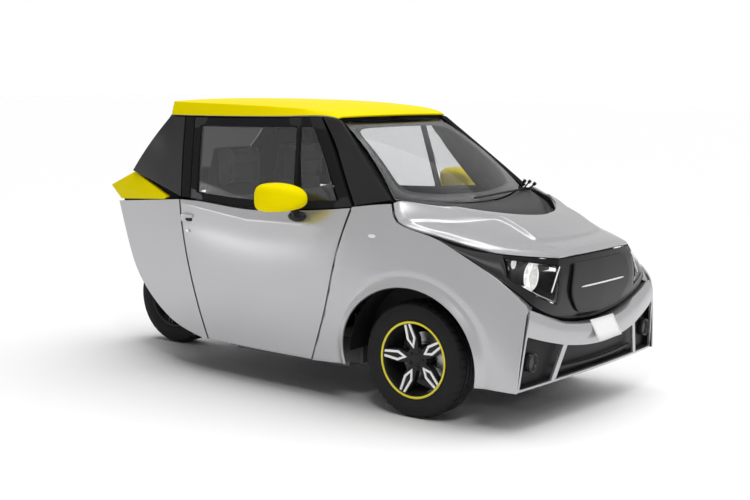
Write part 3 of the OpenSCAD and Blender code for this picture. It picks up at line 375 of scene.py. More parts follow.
WHEELS = (
    ("front_right", "wheel_front_right", Vector((0.875, -0.572, 0.276)), -1),
    ("front_left", "wheel_front_left", Vector((0.875, 0.572, 0.276)), 1),
    ("rear", "wheel_rear", Vector((-1.249, 0.0, 0.276)), -1),
)
for name, body, hub, outward in WHEELS:
    bm = bmesh.new()
    for k, ring in enumerate(lathe(bm, tyre_profile, hub, outward, TYRE_STEPS)):
        for vertex, (w, r) in zip(ring, tyre_profile):
            shoulder = 0.0433 < abs(w) < 0.073
            if shoulder:
                cut = k % 6 == (0 if w > 0 else 3)
            else:
                cut = k % 12 == (4 if w > 0 else 10) and r > 0.272
            if cut:
                away = vertex.co - Vector((hub.x, vertex.co.y, hub.z))
                vertex.co -= away.normalized() * (SHOULDER_CUT if shoulder else RIB_CUT)
    fasten(set_piece("tyre_" + name + "_rubber", bm, rubber, sharp=50), body, "tyre", "tyre_" + name)

# Wheels: black cast rims with five spokes. Each spoke carries a bright machined kite, open in
# the middle, and a yellow band is painted round the edge of the rim; on the rear wheel, in the shade
# of the body, kites and band are drawn black instead, as painted shade. Brake disc behind.
alloy_black = tinted("alloy_black", (0.012, 0.012, 0.013), 0.35, grain=600.0, depth=0.2, spread=0.06,
                     Specular_IOR_Level=0.25)
bright_alloy = tinted("bright_alloy", (0.9, 0.9, 0.9), 0.3, 0.35, grain=900.0, depth=0.04, spread=0.05)
disc_steel = tinted("disc_steel", (0.34, 0.34, 0.35), 0.3, 0.95, grain=400.0, depth=0.2, spread=0.1)
rim_yellow = tinted("rim_yellow", (0.87, 0.75, 0.02), 0.35, grain=500.0, depth=0.05, Coat_Weight=0.3)

SPOKES = 5
RIM_PROFILE = (
    (-0.0685, 0.157), (-0.0745, 0.165), (-0.0765, 0.1825), (-0.0735, 0.1835), (-0.064, 0.1695),
    (0.062, 0.1695), (0.0735, 0.1835), (0.0762, 0.1825), (0.0755, 0.1745), (0.0715, 0.1705), (0.064, 0.1665),
    (0.05, 0.162), (0.0, 0.159), (-0.0685, 0.157),
)
BAND_PROFILE = ((0.0752, 0.1718), (0.0776, 0.1732), (0.0785, 0.1775), (0.0778, 0.1815), (0.0756, 0.1832),
                (0.0745, 0.1775), (0.0752, 0.1718))
HUB_PROFILE = ((0.0515, 0.0), (0.0515, 0.02), (0.0505, 0.0245), (0.0475, 0.0262), (0.0475, 0.05),
               (0.044, 0.0565), (0.02, 0.06), (-0.034, 0.06), (-0.034, 0.0165))
BOLT_PROFILE = ((0.046, 0.0075), (0.0515, 0.0075), (0.0535, 0.006), (0.0535, 0.0))
DISC_PROFILE = ((0.0, 0.045), (0.0, 0.118), (0.001, 0.119), (0.017, 0.119), (0.018, 0.118), (0.018, 0.072),
                (0.024, 0.068), (0.024, 0.045))
KITE = ((0.05, 0.0), (0.098, 0.025), (0.1705, 0.017), (0.1705, -0.017), (0.098, -0.025))
KITE_HOLE = ((0.0715, 0.0), (0.1, 0.0128), (0.171, 0.0052), (0.171, -0.0052), (0.1, -0.0128))
KITE_LIFT = ((0.05, 0.0515), (0.098, 0.0575), (0.171, 0.068))
KITE_SIDES = (0, 1, 3, 4)
SPOKE = ((0.034, -0.02), (0.034, 0.02)) + tuple((r, s * 1.25) for r, s in KITE[1:])


def spoke_point(hub, outward, angle, r, s, w):
    """Point of a spoke: distance from the axis, distance to the side and distance outward."""
    return (hub.x + r * math.cos(angle) - s * math.sin(angle), hub.y + outward * w,
            hub.z + r * math.sin(angle) + s * math.cos(angle))


def spoke_line(bm, hub, outward, angle, outline, drop, spread=1.0):
    """Corners of a spoke or a kite, dropped below the line on which the faces of the kites rise."""
    corners = []
    (a, low), (b, mid), (c, high) = KITE_LIFT
    for r, s in outline:
        at = max(r, a)
        lift = low + (mid - low) * (at - a) / (b - a) if at < b else mid + (high - mid) * (at - b) / (c - b)
        corners.append(bm.verts.new(spoke_point(hub, outward, angle, r, s * spread, lift - drop)))
    return corners


for name, body, hub, outward in WHEELS:
    shaded_rear = name == "rear"
    first = math.radians(-104 if shaded_rear else 104)
    angles = [first + 2 * math.pi * k / SPOKES for k in range(SPOKES)]
    bm = bmesh.new()
    lathe(bm, RIM_PROFILE, hub, outward, 96)
    lathe(bm, HUB_PROFILE, hub, outward, 48)
    for angle in angles:
        top = spoke_line(bm, hub, outward, angle, SPOKE, 0.006)
        low = spoke_line(bm, hub, outward, angle, SPOKE, 0.036, 1.1)
        bm.faces.new(top)
        bm.faces.new(low)
        bridge(bm, top, low)
    for angle in angles:
        bolt = spoke_point(hub, outward, angle + math.pi / SPOKES, 0.039, 0, 0)
        lathe(bm, BOLT_PROFILE, bolt, outward, 12)
    rim = set_piece("rim_" + name + "_casting", bm, alloy_black, sharp=38)
    round_edges(rim, 0.0012, angle=38)
    fasten(rim, body, "alloy_black", "rim_" + name)
    bm = bmesh.new()
    for angle in angles:
        face, hole, base, base_hole = [spoke_line(bm, hub, outward, angle, shape, drop)
                                       for drop in (0.0, 0.0085) for shape in (KITE, KITE_HOLE)]
        for near, far in ((face, hole), (base, base_hole), (face, base), (hole, base_hole)):
            bridge(bm, near, far, KITE_SIDES)
        for i in (2, 3):
            bm.faces.new((face[i], hole[i], base_hole[i], base[i]))
    # On the rear wheel the kites and the band take the rim's black: painted shade.
    kites = set_piece("spoke_kites_" + name, bm, alloy_black if shaded_rear else bright_alloy, sharp=30)
    round_edges(kites, 0.0012)
    fasten(kites, body, "motor_alloy")
    bm = bmesh.new()
    lathe(bm, BAND_PROFILE, hub, outward, 128)
    fasten(set_piece("rim_band_" + name, bm, alloy_black if shaded_rear else rim_yellow), body, "paint_yellow")
    bm = bmesh.new()
    shift = -0.072 if shaded_rear else -0.052
    lathe(bm, [(shift + w, r) for w, r in DISC_PROFILE], hub, outward, 96)
    fasten(set_piece("brake_disc_" + name, bm, disc_steel, sharp=35), body, "steel")

# Dashboard and steering wheel: soft black moulding across the cabin with a hood over the
# display, and a wheel with a wrapped rim on its column.
dash_black = tinted("dash_black", (0.03, 0.03, 0.032), 0.62, grain=500.0, depth=0.15)
grained(dash_black, 600.0, 0.35, 0.0006)
weld_part("dashboard", dash_black, 0.022, "_moulding", 50, angle=15, rounds=4)
wrap = tinted("wheel_wrap", (0.025, 0.025, 0.026), 0.5, grain=800.0, depth=0.2)
grained(wrap, 900.0, 0.5, 0.0006)
weld_part("steering_wheel", wrap, 0.003)

# Seats: foam pads in dark grey cloth, sewn in channels, on a moulded shell. Cushion, back and
# head pad are separate covers, zipped over the foam.
weave, weave_in, weave_out = effect_group("seat weave", {"Scale": 700.0}, ("Height",))
place = add_node(weave, "TexCoord").outputs["Object"]
warp = add_node(weave, "TexWave", {"Vector": place, "Scale": weave_in.outputs["Scale"]}, bands_direction="Y")
weft = add_node(weave, "TexWave", {"Vector": place, "Scale": weave_in.outputs["Scale"]}, bands_direction="Z")
weave.links.new(combine(weave, "MULTIPLY", warp.outputs["Fac"], weft.outputs["Fac"]),
                weave_out.inputs["Height"])

seat_cloth = tinted("seat_cloth", (0.045, 0.045, 0.048), 0.85, grain=900.0, depth=0.35, spread=0.05,
                    Sheen_Weight=0.25)
grained(seat_cloth, 260.0, 0.4, 0.0008, weave)
shell_black = tinted("shell_black", (0.02, 0.02, 0.021), 0.55, grain=400.0, depth=0.2)
VOXEL = 0.0085
FILL_STEPS = 20
SEAM_HALF = 0.007


def inflate(pad, cap):
    """Fills a pad with pressure for a few steps, and holds each point within a cap of where it began."""
    swell = pad.modifiers.new("fill", "REMESH")
    swell.mode = "VOXEL"
    swell.voxel_size = VOXEL
    with bpy.context.temp_override(object=pad, active_object=pad, selected_objects=[pad]):
        bpy.ops.object.modifier_apply(modifier=swell.name)
    before = [v.co.copy() for v in pad.data.vertices]
    cloth = pad.modifiers.new("stuffing", "CLOTH")
    cloth.settings.use_pressure = True
    cloth.settings.uniform_pressure_force = 4
    cloth.settings.effector_weights.gravity = 0
    cloth.point_cache.frame_end = FILL_STEPS
    for step in range(1, FILL_STEPS + 1):
        scene.frame_set(step)
    filled = pad.evaluated_get(bpy.context.evaluated_depsgraph_get()).data
    after = [v.co.copy() for v in filled.vertices]
    pad.modifiers.remove(cloth)
    scene.frame_set(1)
    for vertex, start, end in zip(pad.data.vertices, before, after):
        move = end - start
        vertex.co = start + (move.normalized() * cap if move.length > cap else move)
    for face in pad.data.polygons:
        face.use_smooth = True


def subdivide(piece, levels):
    """Subdivision surface over a piece."""
    smooth = piece.modifiers.new("smooth", "SUBSURF")
    smooth.levels = smooth.render_levels = levels


def apply_shape(piece):
    """Mesh of a piece as its modifiers leave it, ready for its last forming."""
    formed = bpy.data.meshes.new_from_object(piece.evaluated_get(bpy.context.evaluated_depsgraph_get()))
    piece.modifiers.clear()
    piece.data = formed
    return formed


def foam_pad(name, centre, up, half, thick, seams, cap):
    """Crowned closed pad whose sides pull in between its corners, filled by pressure and then sewn."""
    centre, up, wide = Vector(centre), Vector(up).normalized(), Vector((0, 1, 0))
    out = wide.cross(up).normalized()
    n = 24
    bm = bmesh.new()
    sheets = []
    for face in (1, -1):
        sheet = []
        for i in range(n + 1):
            row = []
            for j in range(n + 1):
                a, b = 2 * i / n - 1, 2 * j / n - 1
                crown = max(0.0, (1 - a ** 6) * (1 - b ** 6)) ** 0.4
                x = a * half[0] * (1 - 0.025 * (1 - b * b))
                y = b * half[1] * (1 - 0.03 * (1 - a * a))
                wing = 0.35 * thick * max(0.0, abs(b) - 0.55) / 0.45 if face > 0 else 0.0
                lift = face * (0.35 + 0.65 * crown) * thick + wing
                row.append(bm.verts.new(centre + up * x + wide * y + out * lift))
            sheet.append(row)
        sheets.append(sheet)
    front, back = sheets
    for i in range(n):
        for j in range(n):
            bm.faces.new((front[i][j], front[i][j + 1], front[i + 1][j + 1], front[i + 1][j]))
            bm.faces.new((back[i][j], back[i + 1][j], back[i + 1][j + 1], back[i][j + 1]))
    rim_f, rim_b = [s[0] + [row[n] for row in s[1:]] + s[n][-2::-1] + [row[0] for row in s[-2:0:-1]]
                    for s in sheets]
    for k in range(len(rim_f)):
        m = (k + 1) % len(rim_f)
        bm.faces.new((rim_f[k], rim_b[k], rim_b[m], rim_f[m]))
    pad = set_piece(name, bm, seat_cloth)
    inflate(pad, cap)
    subdivide(pad, 1)
    for vertex in apply_shape(pad).vertices:
        spot = vertex.co - centre
        if spot.dot(out) > 0:
            for axis, at, depth in seams:
                gap = spot.dot(up if axis == "across" else wide) - at
                vertex.co -= out * depth * math.exp(-(gap / SEAM_HALF) ** 2)
    return pad


SEAT_Y = 0.268
LONG_SEAMS = (("along", -0.12, 0.012), ("along", 0.12, 0.012))
CUSHION_SEAMS = LONG_SEAMS + (("across", -0.09, 0.008), ("across", 0.04, 0.008))
BACK_SEAMS = LONG_SEAMS + (("across", -0.14, 0.008), ("across", 0.0, 0.008), ("across", 0.14, 0.008))
HEAD_SEAMS = (("across", 0.0, 0.006),)
PADS = (
    ("seat_cushion_", (-0.175, SEAT_Y, 0.345), (-1, 0, -0.115), (0.205, 0.2), 0.062, CUSHION_SEAMS, 0.012),
    ("seat_back_", (-0.475, SEAT_Y, 0.69), (-0.235, 0, 0.97), (0.265, 0.2), 0.055, BACK_SEAMS, 0.012),
    ("head_pad_", (-0.556, SEAT_Y, 1.09), (-0.06, 0, 1), (0.098, 0.145), 0.036, HEAD_SEAMS, 0.008),
)
for name, *shape in PADS:
    pad = foam_pad(name + "left", *shape)
    other = bpy.data.objects.new(name + "right", pad.data.copy())
    other.data.transform(Matrix.Translation((0, -2 * SEAT_Y, 0)))
    scene.collection.objects.link(other)
    for piece in (pad, other):
        fasten(piece, "body", "seat_fabric")
for name in ("left", "right"):
    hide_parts("seat_" + name)

SHELL_OUTLINE = ((-0.01, 0.25), (-0.42, 0.245), (-0.475, 0.3), (-0.61, 0.95), (-0.6, 1.19), (-0.588, 1.19),
                 (-0.59, 0.95), (-0.452, 0.325), (-0.41, 0.275), (-0.01, 0.285))
SIDES = ((-1, "right"), (1, "left"))


def close_tube(bm, rings):
    """Faces along a row of closed lines of points, with both ends filled."""
    for near, far in zip(rings, rings[1:]):
        bridge(bm, near, far)
    bm.faces.new(rings[0])
    bm.faces.new(rings[-1])


for side, name in SIDES:
    bm = bmesh.new()
    close_tube(bm, [[bm.verts.new((x, side * SEAT_Y + y * (0.72 if z > 0.97 else 1.0), z))
                     for x, z in SHELL_OUTLINE] for y in (-0.205, -0.1, 0.1, 0.205)])
    shell = set_piece("seat_shell_" + name, bm, shell_black, sharp=40)
    round_edges(shell, 0.006, rounds=3)
    fasten(shell, "body", "trim_black")

# Body panels: pressed sheet with rolled edges, in silver paint under clear lacquer. The fenders,
# the quarter panels, the tail and the bumper are fixed; the bonnet and the doors are hung.
silver_paint = tinted("silver_paint", (0.47, 0.465, 0.477), 0.27, 0.75, grain=1800.0, depth=0.07, spread=0.05,
                      Coat_Weight=0.25, Coat_Roughness=0.12)
inner_black = tinted("inner_black", (0.012, 0.012, 0.013), 0.8, grain=300.0, depth=0.2,
                     Specular_IOR_Level=0.1)
FOLD = 42


def join_quads(bm):
    """Turns the solid's triangles back into the grid of four sided faces that it was drawn through."""
    bmesh.ops.join_triangles(bm, faces=bm.faces, angle_face_threshold=math.radians(60),
                             angle_shape_threshold=math.radians(180), topology_influence=2.0)
    bm.normal_update()


def press_panel(node, coats, edge=0.002, crease=None, levels=2, inside=None, crisp=False, dark_edge=None,
                top_edge=False):
    """Pressed panel: the solid's own grid of points drawn through as one smooth sheet with rolled edges.
    Inner faces take the second coat, and so do the cut edges whose normal dark_edge accepts; on those cut
    edges the dark coat is painted shade in the joints."""
    bm = node_mesh(node)
    join_quads(bm)
    firm = bm.edges.layers.float.new("crease_edge")
    weight = bm.edges.layers.float.new("bevel_weight_edge")
    folded = set()
    for line in bm.edges:
        turn = math.degrees(line.calc_face_angle(0))
        if turn > FOLD:
            folded.add(line)
            raised = max(face.normal.z for face in line.link_faces) > 0.5
            line[weight] = 1.0 if raised or not top_edge else 0.15
            line[firm] = 1.0 if crisp else 0.0
        elif crease and turn > crease[0]:
            line[firm] = crease[1]
    for face in bm.faces:
        inward = Vector((0, -math.copysign(1, face.calc_center_median().y), 0))
        if inside is not None and face.normal.dot(inward if inside == "side" else Vector(inside)) > 0.5:
            face.material_index = 1
        lines = face.edges
        cut = len(lines) == 4 and any(lines[i] in folded and lines[i + 2] in folded for i in (0, 1))
        if cut and dark_edge and dark_edge(face.normal):
            face.material_index = 1
    panel = set_piece(node + "_panel", bm, coats)
    if not crisp:
        rolled = panel.modifiers.new("rolled edge", "BEVEL")
        rolled.limit_method = "WEIGHT"
        rolled.width = edge
        rolled.segments = 2
    subdivide(panel, levels)
    if crisp:
        round_edges(panel, edge, angle=35)
    return fasten(panel, body_of[node], slot_of[node], node)


def read_table(table, at):
    """Value of a table of (place, value) rows, straight between the rows."""
    for (a, low), (b, high) in zip(table, table[1:]):
        if at <= b:
            return low + (high - low) * max(0.0, (at - a) / (b - a))
    return table[-1][1]


def ease(low, high, at):
    """Share from 0 to 1 between two places, with a soft start and end."""
    t = min(1.0, max(0.0, (at - low) / (high - low)))
    return t * t * (3 - 2 * t)


def edge_distance(line, x, y):
    """Distance in plan from a point to a line of points."""
    spot = Vector((x, y))
    near = 10.0
    for a, b in zip(line, line[1:]):
        a, b = Vector(a), Vector(b)
        along = b - a
        t = min(1.0, max(0.0, (spot - a).dot(along) / along.length_squared))
        near = min(near, (spot - a - along * t).length)
    return near


# The rear-facing cut edges of the fenders, at the door gaps, take black: painted shade in the gaps.
for node in ("fender_right", "fender_left"):
    press_panel(node, [silver_paint, inner_black], crease=(11, 0.6), inside="side",
                dark_edge=lambda normal: normal.x < -0.5)
for node in ("quarter_panel_right", "quarter_panel_left"):
    press_panel(node, [silver_paint, inner_black], inside="side")

BELT = ((-0.9, 0.902), (-0.6, 0.93), (-0.15, 0.908), (0.3, 0.938), (0.52, 0.966))
DOOR_FRONT = ((0.19, 0.268), (0.457, 0.385), (0.8, 0.458), (0.97, 0.505))
DOOR_REAR = ((0.19, -0.47), (0.457, -0.548), (0.8, -0.65), (0.97, -0.69))
SHOULDER, SHOULDER_FALL = 0.019, 0.13
# Each door's inner faces take the dark lining; its cut edges take it too, as painted shade in the door gaps.
for node in ("door_panel_right", "door_panel_left"):
    door = apply_shape(press_panel(node, [silver_paint, dash_black], edge=0.004, levels=3, inside="side",
                                   dark_edge=lambda normal: abs(normal.y) < 0.6))
    outward = math.copysign(1, door.vertices[0].co.y)
    for vertex in [vertex for vertex in door.vertices if vertex.normal.y * outward > 0.4]:
        x, z = vertex.co.x, vertex.co.z
        front, rear = read_table(DOOR_FRONT, z), read_table(DOOR_REAR, z)
        share = (front - x) / (front - rear)
        below = read_table(BELT, x) - z
        line = 0.08 - 0.06 * share
        ridge = below / line if below < line else max(0.0, 1 - (below - line) / SHOULDER_FALL) ** 2
        vertex.co.y += outward * SHOULDER * ridge * ease(0.03, 0.22, share) * ease(1.0, 0.94, share)
press_panel("rear_panel", silver_paint)
press_panel("bumper", silver_paint, edge=0.0025, crisp=True)

BONNET_EDGE = ((0.734, 0.622), (0.76, 0.641), (0.784, 0.648), (0.815, 0.65), (0.869, 0.651), (0.964, 0.644),
               (1.092, 0.603), (1.212, 0.54), (1.33, 0.46), (1.458, 0.346), (1.475, 0.18), (1.48, 0.0))
BONNET_ROLL = 0.009
bonnet = press_panel("bonnet", silver_paint, edge=0.0105, crease=(14, 0.9), levels=3, top_edge=True)
for vertex in [vertex for vertex in apply_shape(bonnet).vertices if vertex.normal.z > 0.25]:
    away = edge_distance(BONNET_EDGE, vertex.co.x, abs(vertex.co.y))
    vertex.co.z += BONNET_ROLL * ease(0.0, 0.032, away) * (1 - ease(0.04, 0.15, away))

# Yellow pieces: the roof, the mirrors and the wings on the tail are moulded and painted gloss
# yellow. The roof is lined inside; each mirror stands on a black foot on its door.
yellow_paint = tinted("yellow_paint", (0.9, 0.74, 0.0), 0.42, grain=900.0, depth=0.03, spread=0.05,
                      Specular_IOR_Level=0.02)
lining_grey = tinted("lining_grey", (0.25, 0.25, 0.25), 0.9, grain=700.0, depth=0.2)
grained(lining_grey, 400.0, 0.3, 0.0005, weave)
press_panel("roof_cap", [yellow_paint, lining_grey], edge=0.004, inside=(0, 0, -1))

trim_black = tinted("trim_black", (0.012, 0.012, 0.013), 0.5, grain=500.0, depth=0.2, spread=0.08,
                    Specular_IOR_Level=0.25)
grained(trim_black, 800.0, 0.2, 0.0004)
mirror_glass = tinted("mirror_glass", (0.75, 0.77, 0.78), 0.05, 1.0, grain=40.0, depth=0.02, spread=0.01)
MIRROR_RINGS = (
    (0.098, 0.79, 0.089, 0.995, 0.061), (0.107, 0.79, 0.095, 0.996, 0.068),
    (0.13, 0.788, 0.0955, 0.9965, 0.0695), (0.15, 0.786, 0.094, 0.997, 0.07),
    (0.18, 0.782, 0.09, 0.997, 0.0685), (0.205, 0.776, 0.084, 0.997, 0.066),
    (0.232, 0.768, 0.0745, 0.9965, 0.0605), (0.255, 0.758, 0.062, 0.996, 0.053),
    (0.274, 0.75, 0.0485, 0.9945, 0.043), (0.288, 0.742, 0.034, 0.993, 0.031),
    (0.297, 0.736, 0.019, 0.9915, 0.018), (0.3, 0.734, 0.006, 0.991, 0.006),
)
PANE_Y, PANE_Z = 0.79, 0.995
FOOT_TOP = 0.93


def soft_square(power):
    """Forty points round a square of two units with rounded corners, rounder as the power nears one."""
    points = []
    for k in range(40):
        c, s = math.cos(2 * math.pi * k / 40), math.sin(2 * math.pi * k / 40)
        points.append((math.copysign(abs(c) ** power, c), math.copysign(abs(s) ** power, s)))
    return points


mirror_outline = soft_square(0.62)
for side, name in SIDES:
    bm = bmesh.new()
    rings = [[bm.verts.new((x, side * (y + w * c), z + h * s)) for c, s in mirror_outline]
             for x, y, w, z, h in MIRROR_RINGS]
    lip = [bm.verts.new((0.1, v.co.y + (side * PANE_Y - v.co.y) * 0.07, v.co.z + (PANE_Z - v.co.z) * 0.09))
           for v in rings[0]]
    recess = [bm.verts.new((0.114, v.co.y, v.co.z)) for v in lip]
    lines = [recess, lip] + rings
    for near, far in zip(lines, lines[1:]):
        bridge(bm, near, far)
    bm.faces.new(rings[-1])
    shell = set_piece("mirror_shell_" + name, bm, yellow_paint, sharp=50)
    subdivide(shell, 1)
    fasten(shell, "door_" + name, "paint_yellow", "mirror_" + name)
    bm = bmesh.new()
    close_tube(bm, [[bm.verts.new((x, side * (PANE_Y + 0.082 * c), PANE_Z + 0.0545 * s))
                     for c, s in mirror_outline] for x in (0.1125, 0.1165)])
    fasten(set_piece("mirror_pane_" + name, bm, mirror_glass, sharp=40), "door_" + name, "dark_glass")
    bm = node_mesh("mirror_" + name)
    housing = [f for f in bm.faces if f.calc_center_median().z > FOOT_TOP]
    bmesh.ops.delete(bm, geom=housing, context="FACES")
    foot = set_piece("mirror_foot_" + name, bm, trim_black, sharp=40)
    subdivide(foot, 1)
    fasten(foot, "door_" + name, "trim_black")

for name in ("right", "left"):
    wing = weld_part("tail_wing_" + name, [yellow_paint, inner_black], 0.006)
    for face in wing.data.polygons:
        face.material_index = int(face.normal.y * face.center.y < 0 and abs(face.normal.y) > 0.6)

# Black gloss pieces round the glass: screen pillars, door frames, panels behind the doors and the
# tailgate. Moulded with a gloss face and bonded on.
gloss_black = tinted("gloss_black", (0.012, 0.011, 0.012), 0.2, grain=700.0, depth=0.2, spread=0.05,
                     Specular_IOR_Level=0.28)


def any_edge(normal):
    """Takes every cut edge of a panel, whichever way it faces."""
    return True


# The inner faces and all cut edges of the pillars and door frames take matte black; on the cut edges it is
# painted shade in the joints.
for name in ("right", "left"):
    for node in ("pillars_", "door_frame_"):
        press_panel(node + name, [gloss_black, inner_black], edge=0.003, inside="side", crisp=True,
                    dark_edge=any_edge)
    press_panel("quarter_window_" + name, gloss_black)
press_panel("tailgate", gloss_black, edge=0.003)

# Nose: gloss black mask with a raised satin middle, and dark housings behind the lamp covers.
# Cowl of grained plastic with the wiper on it; dark insets fill the openings of the bumper.
satin_black = tinted("satin_black", (0.016, 0.0155, 0.0175), 0.42, grain=800.0, depth=0.15, spread=0.06,
                     Specular_IOR_Level=0.3)
press_panel("nose_mask", [gloss_black, inner_black], edge=0.003, crisp=True, dark_edge=any_edge)
press_panel("grille_panel", satin_black, edge=0.004)
press_panel("lamp_housings", inner_black)

bar_white = tinted("bar_white", (0.85, 0.85, 0.85), 0.35, grain=300.0, depth=0.04)
BAR_REACH, BAR_HALF, BAR_Z = 0.21, 0.0037, 0.633
bm = bmesh.new()
rows = []
for i in range(13):
    y = -BAR_REACH + 2 * BAR_REACH * i / 12
    half = BAR_HALF * min(1.0, 0.35 + (BAR_REACH - abs(y)) / 0.03)
    face = 1.5155 - 0.1 * y * y
    rows.append([bm.verts.new((x, y, BAR_Z + h * half))
                 for x, h in ((face - 0.004, -1), (face, -0.8), (face, 0.8), (face - 0.004, 1))])
close_tube(bm, rows)
fasten(set_piece("grille_bar", bm, bar_white, sharp=40), "body", "lamp_clear")

cowl_black = tinted("cowl_black", (0.04, 0.039, 0.041), 0.6, grain=400.0, depth=0.2, Specular_IOR_Level=0.3)
grained(cowl_black, 500.0, 0.4, 0.0008)
press_panel("cowl", cowl_black)
weld_part("wiper", trim_black, 0.0006)
press_panel("bumper_insets", trim_black)
lamp_ring = tinted("lamp_ring", (0.022, 0.022, 0.023), 0.3, grain=300.0, depth=0.15, Specular_IOR_Level=0.4)
FOG_PROFILE = ((0.004, 0.0), (0.006, 0.012), (0.002, 0.025), (0.004, 0.031), (0.012, 0.034), (0.016, 0.038),
               (0.014, 0.042), (0.0, 0.044))
for side, name in SIDES:
    bm = bmesh.new()
    lathe(bm, FOG_PROFILE, (0, 0, 0), 1, 48)
    bmesh.ops.rotate(bm, verts=bm.verts, cent=(0, 0, 0), matrix=Matrix.Rotation(-math.pi / 2, 3, "Z"))
    bmesh.ops.translate(bm, verts=bm.verts, vec=(1.4545, side * 0.56, 0.33))
    fasten(set_piece("fog_lamp_" + name, bm, lamp_ring, sharp=40), "body", "trim_black")

# Glass: bent clear screen bonded in, flat panes in the doors and a dark pane in the tailgate.
# The screen has a black printed border on its inner face.


def poured_glass(name, colour, ior, rough=0.02, grain=20.0, depth=0.02):
    """Clear or tinted glass, with a faint drift in its tint."""
    coat = new_finish(name, colour, rough, 0.0, Transmission_Weight=1.0, IOR=ior)
    tone = place_group(coat, tone_drift, Colour=(*colour, 1), Grain=grain, Depth=depth)
    feed(coat, tone.outputs["Color"], "Base Color")
    return coat


press_panel("windscreen", poured_glass("clear_glass", (0.76, 0.765, 0.77), 1.15), edge=0.001)
door_pane = poured_glass("door_pane", (0.8, 0.805, 0.81), 1.4)
DIVIDER_X = 0.125
for name in ("right", "left"):
    panes = press_panel("door_glass_" + name, [door_pane, inner_black], edge=0.001, dark_edge=any_edge)
    for low, high in ((-2.0, DIVIDER_X), (DIVIDER_X, 2.0)):
        pane = [v for v in panes.data.vertices if low < v.co.x - 0.09 * (1.2 - v.co.z) / 0.4 < high]
        middle = sum((v.co for v in pane), Vector()) / len(pane)
        for vertex in pane:
            vertex.co.x += (vertex.co.x - middle.x) * 0.035
            vertex.co.z += (vertex.co.z - middle.z) * 0.05
dark_pane = poured_glass("dark_pane", (0.06, 0.06, 0.062), 1.15)
press_panel("tailgate_glass", [dark_pane, inner_black], edge=0.001, dark_edge=any_edge)

SCREEN_TOP, SCREEN_TOP_CORNER = Vector((0.262, 0, 1.362)), Vector((0.283, 0.424, 1.354))
SCREEN_LOW, SCREEN_LOW_CORNER = Vector((0.838, 0, 0.97)), Vector((0.706, 0.568, 1.008))
BORDER_STEPS, BORDER_DROP = 96, 0.0085


def screen_point(u, s):
    """Point on the inner face of the screen at a share of its height and of its half width."""
    top = SCREEN_TOP.lerp(SCREEN_TOP_CORNER, s * s)
    low = SCREEN_LOW.lerp(SCREEN_LOW_CORNER, s * s)
    p = top.lerp(low, u)
    swell = 0.024 * 4 * u * (1 - u) - BORDER_DROP
    y = (SCREEN_TOP_CORNER.y + (SCREEN_LOW_CORNER.y - SCREEN_TOP_CORNER.y) * u) * s
    return Vector((p.x + 0.56 * swell, y, p.z + 0.83 * swell))


def thicken(piece, depth):
    """Gives a sheet its thickness."""
    piece.modifiers.new("sheet", "SOLIDIFY").thickness = depth
    return piece


border_black = tinted("border_black", (0.012, 0.012, 0.013), 0.4, grain=400.0, depth=0.2)
bm = bmesh.new()
loops = []
for k in range(BORDER_STEPS):
    turn = 2 * math.pi * (k + 0.5) / BORDER_STEPS
    c, s = math.cos(turn), math.sin(turn)
    reach = 1 / max(abs(c), abs(s))
    soft = 1 / (abs(c) ** 9 + abs(s) ** 9) ** (1 / 9)
    outer = (0.5 + 0.494 * s * reach, 0.99 * c * reach)
    inner = (0.505 + 0.4 * s * soft, 0.885 * c * soft)
    between = ((outer[0] + inner[0]) / 2, (outer[1] + inner[1]) / 2)
    loops.append([bm.verts.new(screen_point(*spot)) for spot in (outer, between, inner)])
for near, far in zip(loops, loops[1:] + loops[:1]):
    bridge(bm, far, near, (0, 1))
fasten(thicken(set_piece("screen_border", bm, border_black), 0.001), "body", "gloss_black")

# Seals: black strips and lining that close the joints round the screen, the doors, the roof and the tail
# wings and under the nose, glued to the frame. Some are rubber seals; others are dark sheets that stand as
# painted shade inside the joints. A silver ledge joins each fender to the mask.
SCREEN_JOINT = (
    ((0.716, 0.6213, 1.009), (0.706, 0.568, 1.008)), ((0.6112, 0.5883, 1.0982), (0.6103, 0.532, 1.1094)),
    ((0.5065, 0.549, 1.1875), (0.5079, 0.496, 1.2009)), ((0.4017, 0.5073, 1.2767), (0.3988, 0.46, 1.2824)),
    ((0.297, 0.4643, 1.366), (0.283, 0.424, 1.354)),
)
DOOR_JOINT = ((0.52, 0.6395, 0.973), (0.4435, 0.5978, 1.0742), (0.367, 0.5531, 1.1755),
              (0.2905, 0.5063, 1.2767), (0.214, 0.5021, 1.378))
POST_JOINT = ((-0.67, 0.5899, 0.936), (-0.6795, 0.5738, 1.041), (-0.689, 0.5556, 1.146),
              (-0.6985, 0.5351, 1.251), (-0.708, 0.5127, 1.356))
TAIL_JOINT = (
    ((-0.836, 0.5013, 1.354), (-0.87, 0.4685, 1.355)), ((-0.913, 0.5105, 1.277), (-0.937, 0.4715, 1.277)),
    ((-0.99, 0.5121, 1.2), (-1.0035, 0.472, 1.2)), ((-1.067, 0.5057, 1.123), (-1.07, 0.464, 1.123)),
    ((-1.144, 0.492, 1.046), (-1.136, 0.447, 1.046)), ((-1.2, 0.47, 0.97), (-1.2, 0.425, 0.972)),
    ((-1.28, 0.445, 0.88), (-1.262, 0.385, 0.9)),
)
ROOF_REAR_JOINT = [(-0.802, y, z) for y, z in (
    (0.0, 1.437), (0.157, 1.436), (0.291, 1.433), (0.404, 1.429), (0.468, 1.426))]
ROOF_FRONT_JOINT = ((0.256, 0.0, 1.39), (0.257, 0.146, 1.389), (0.262, 0.271, 1.386), (0.268, 0.375, 1.382),
                    (0.268, 0.447, 1.379))
ROOF_SIDE_JOINT = ((0.2, 0.452, 1.385), (0.0, 0.47, 1.4), (-0.3, 0.49, 1.405), (-0.6, 0.485, 1.405),
                   (-0.8, 0.474, 1.4))
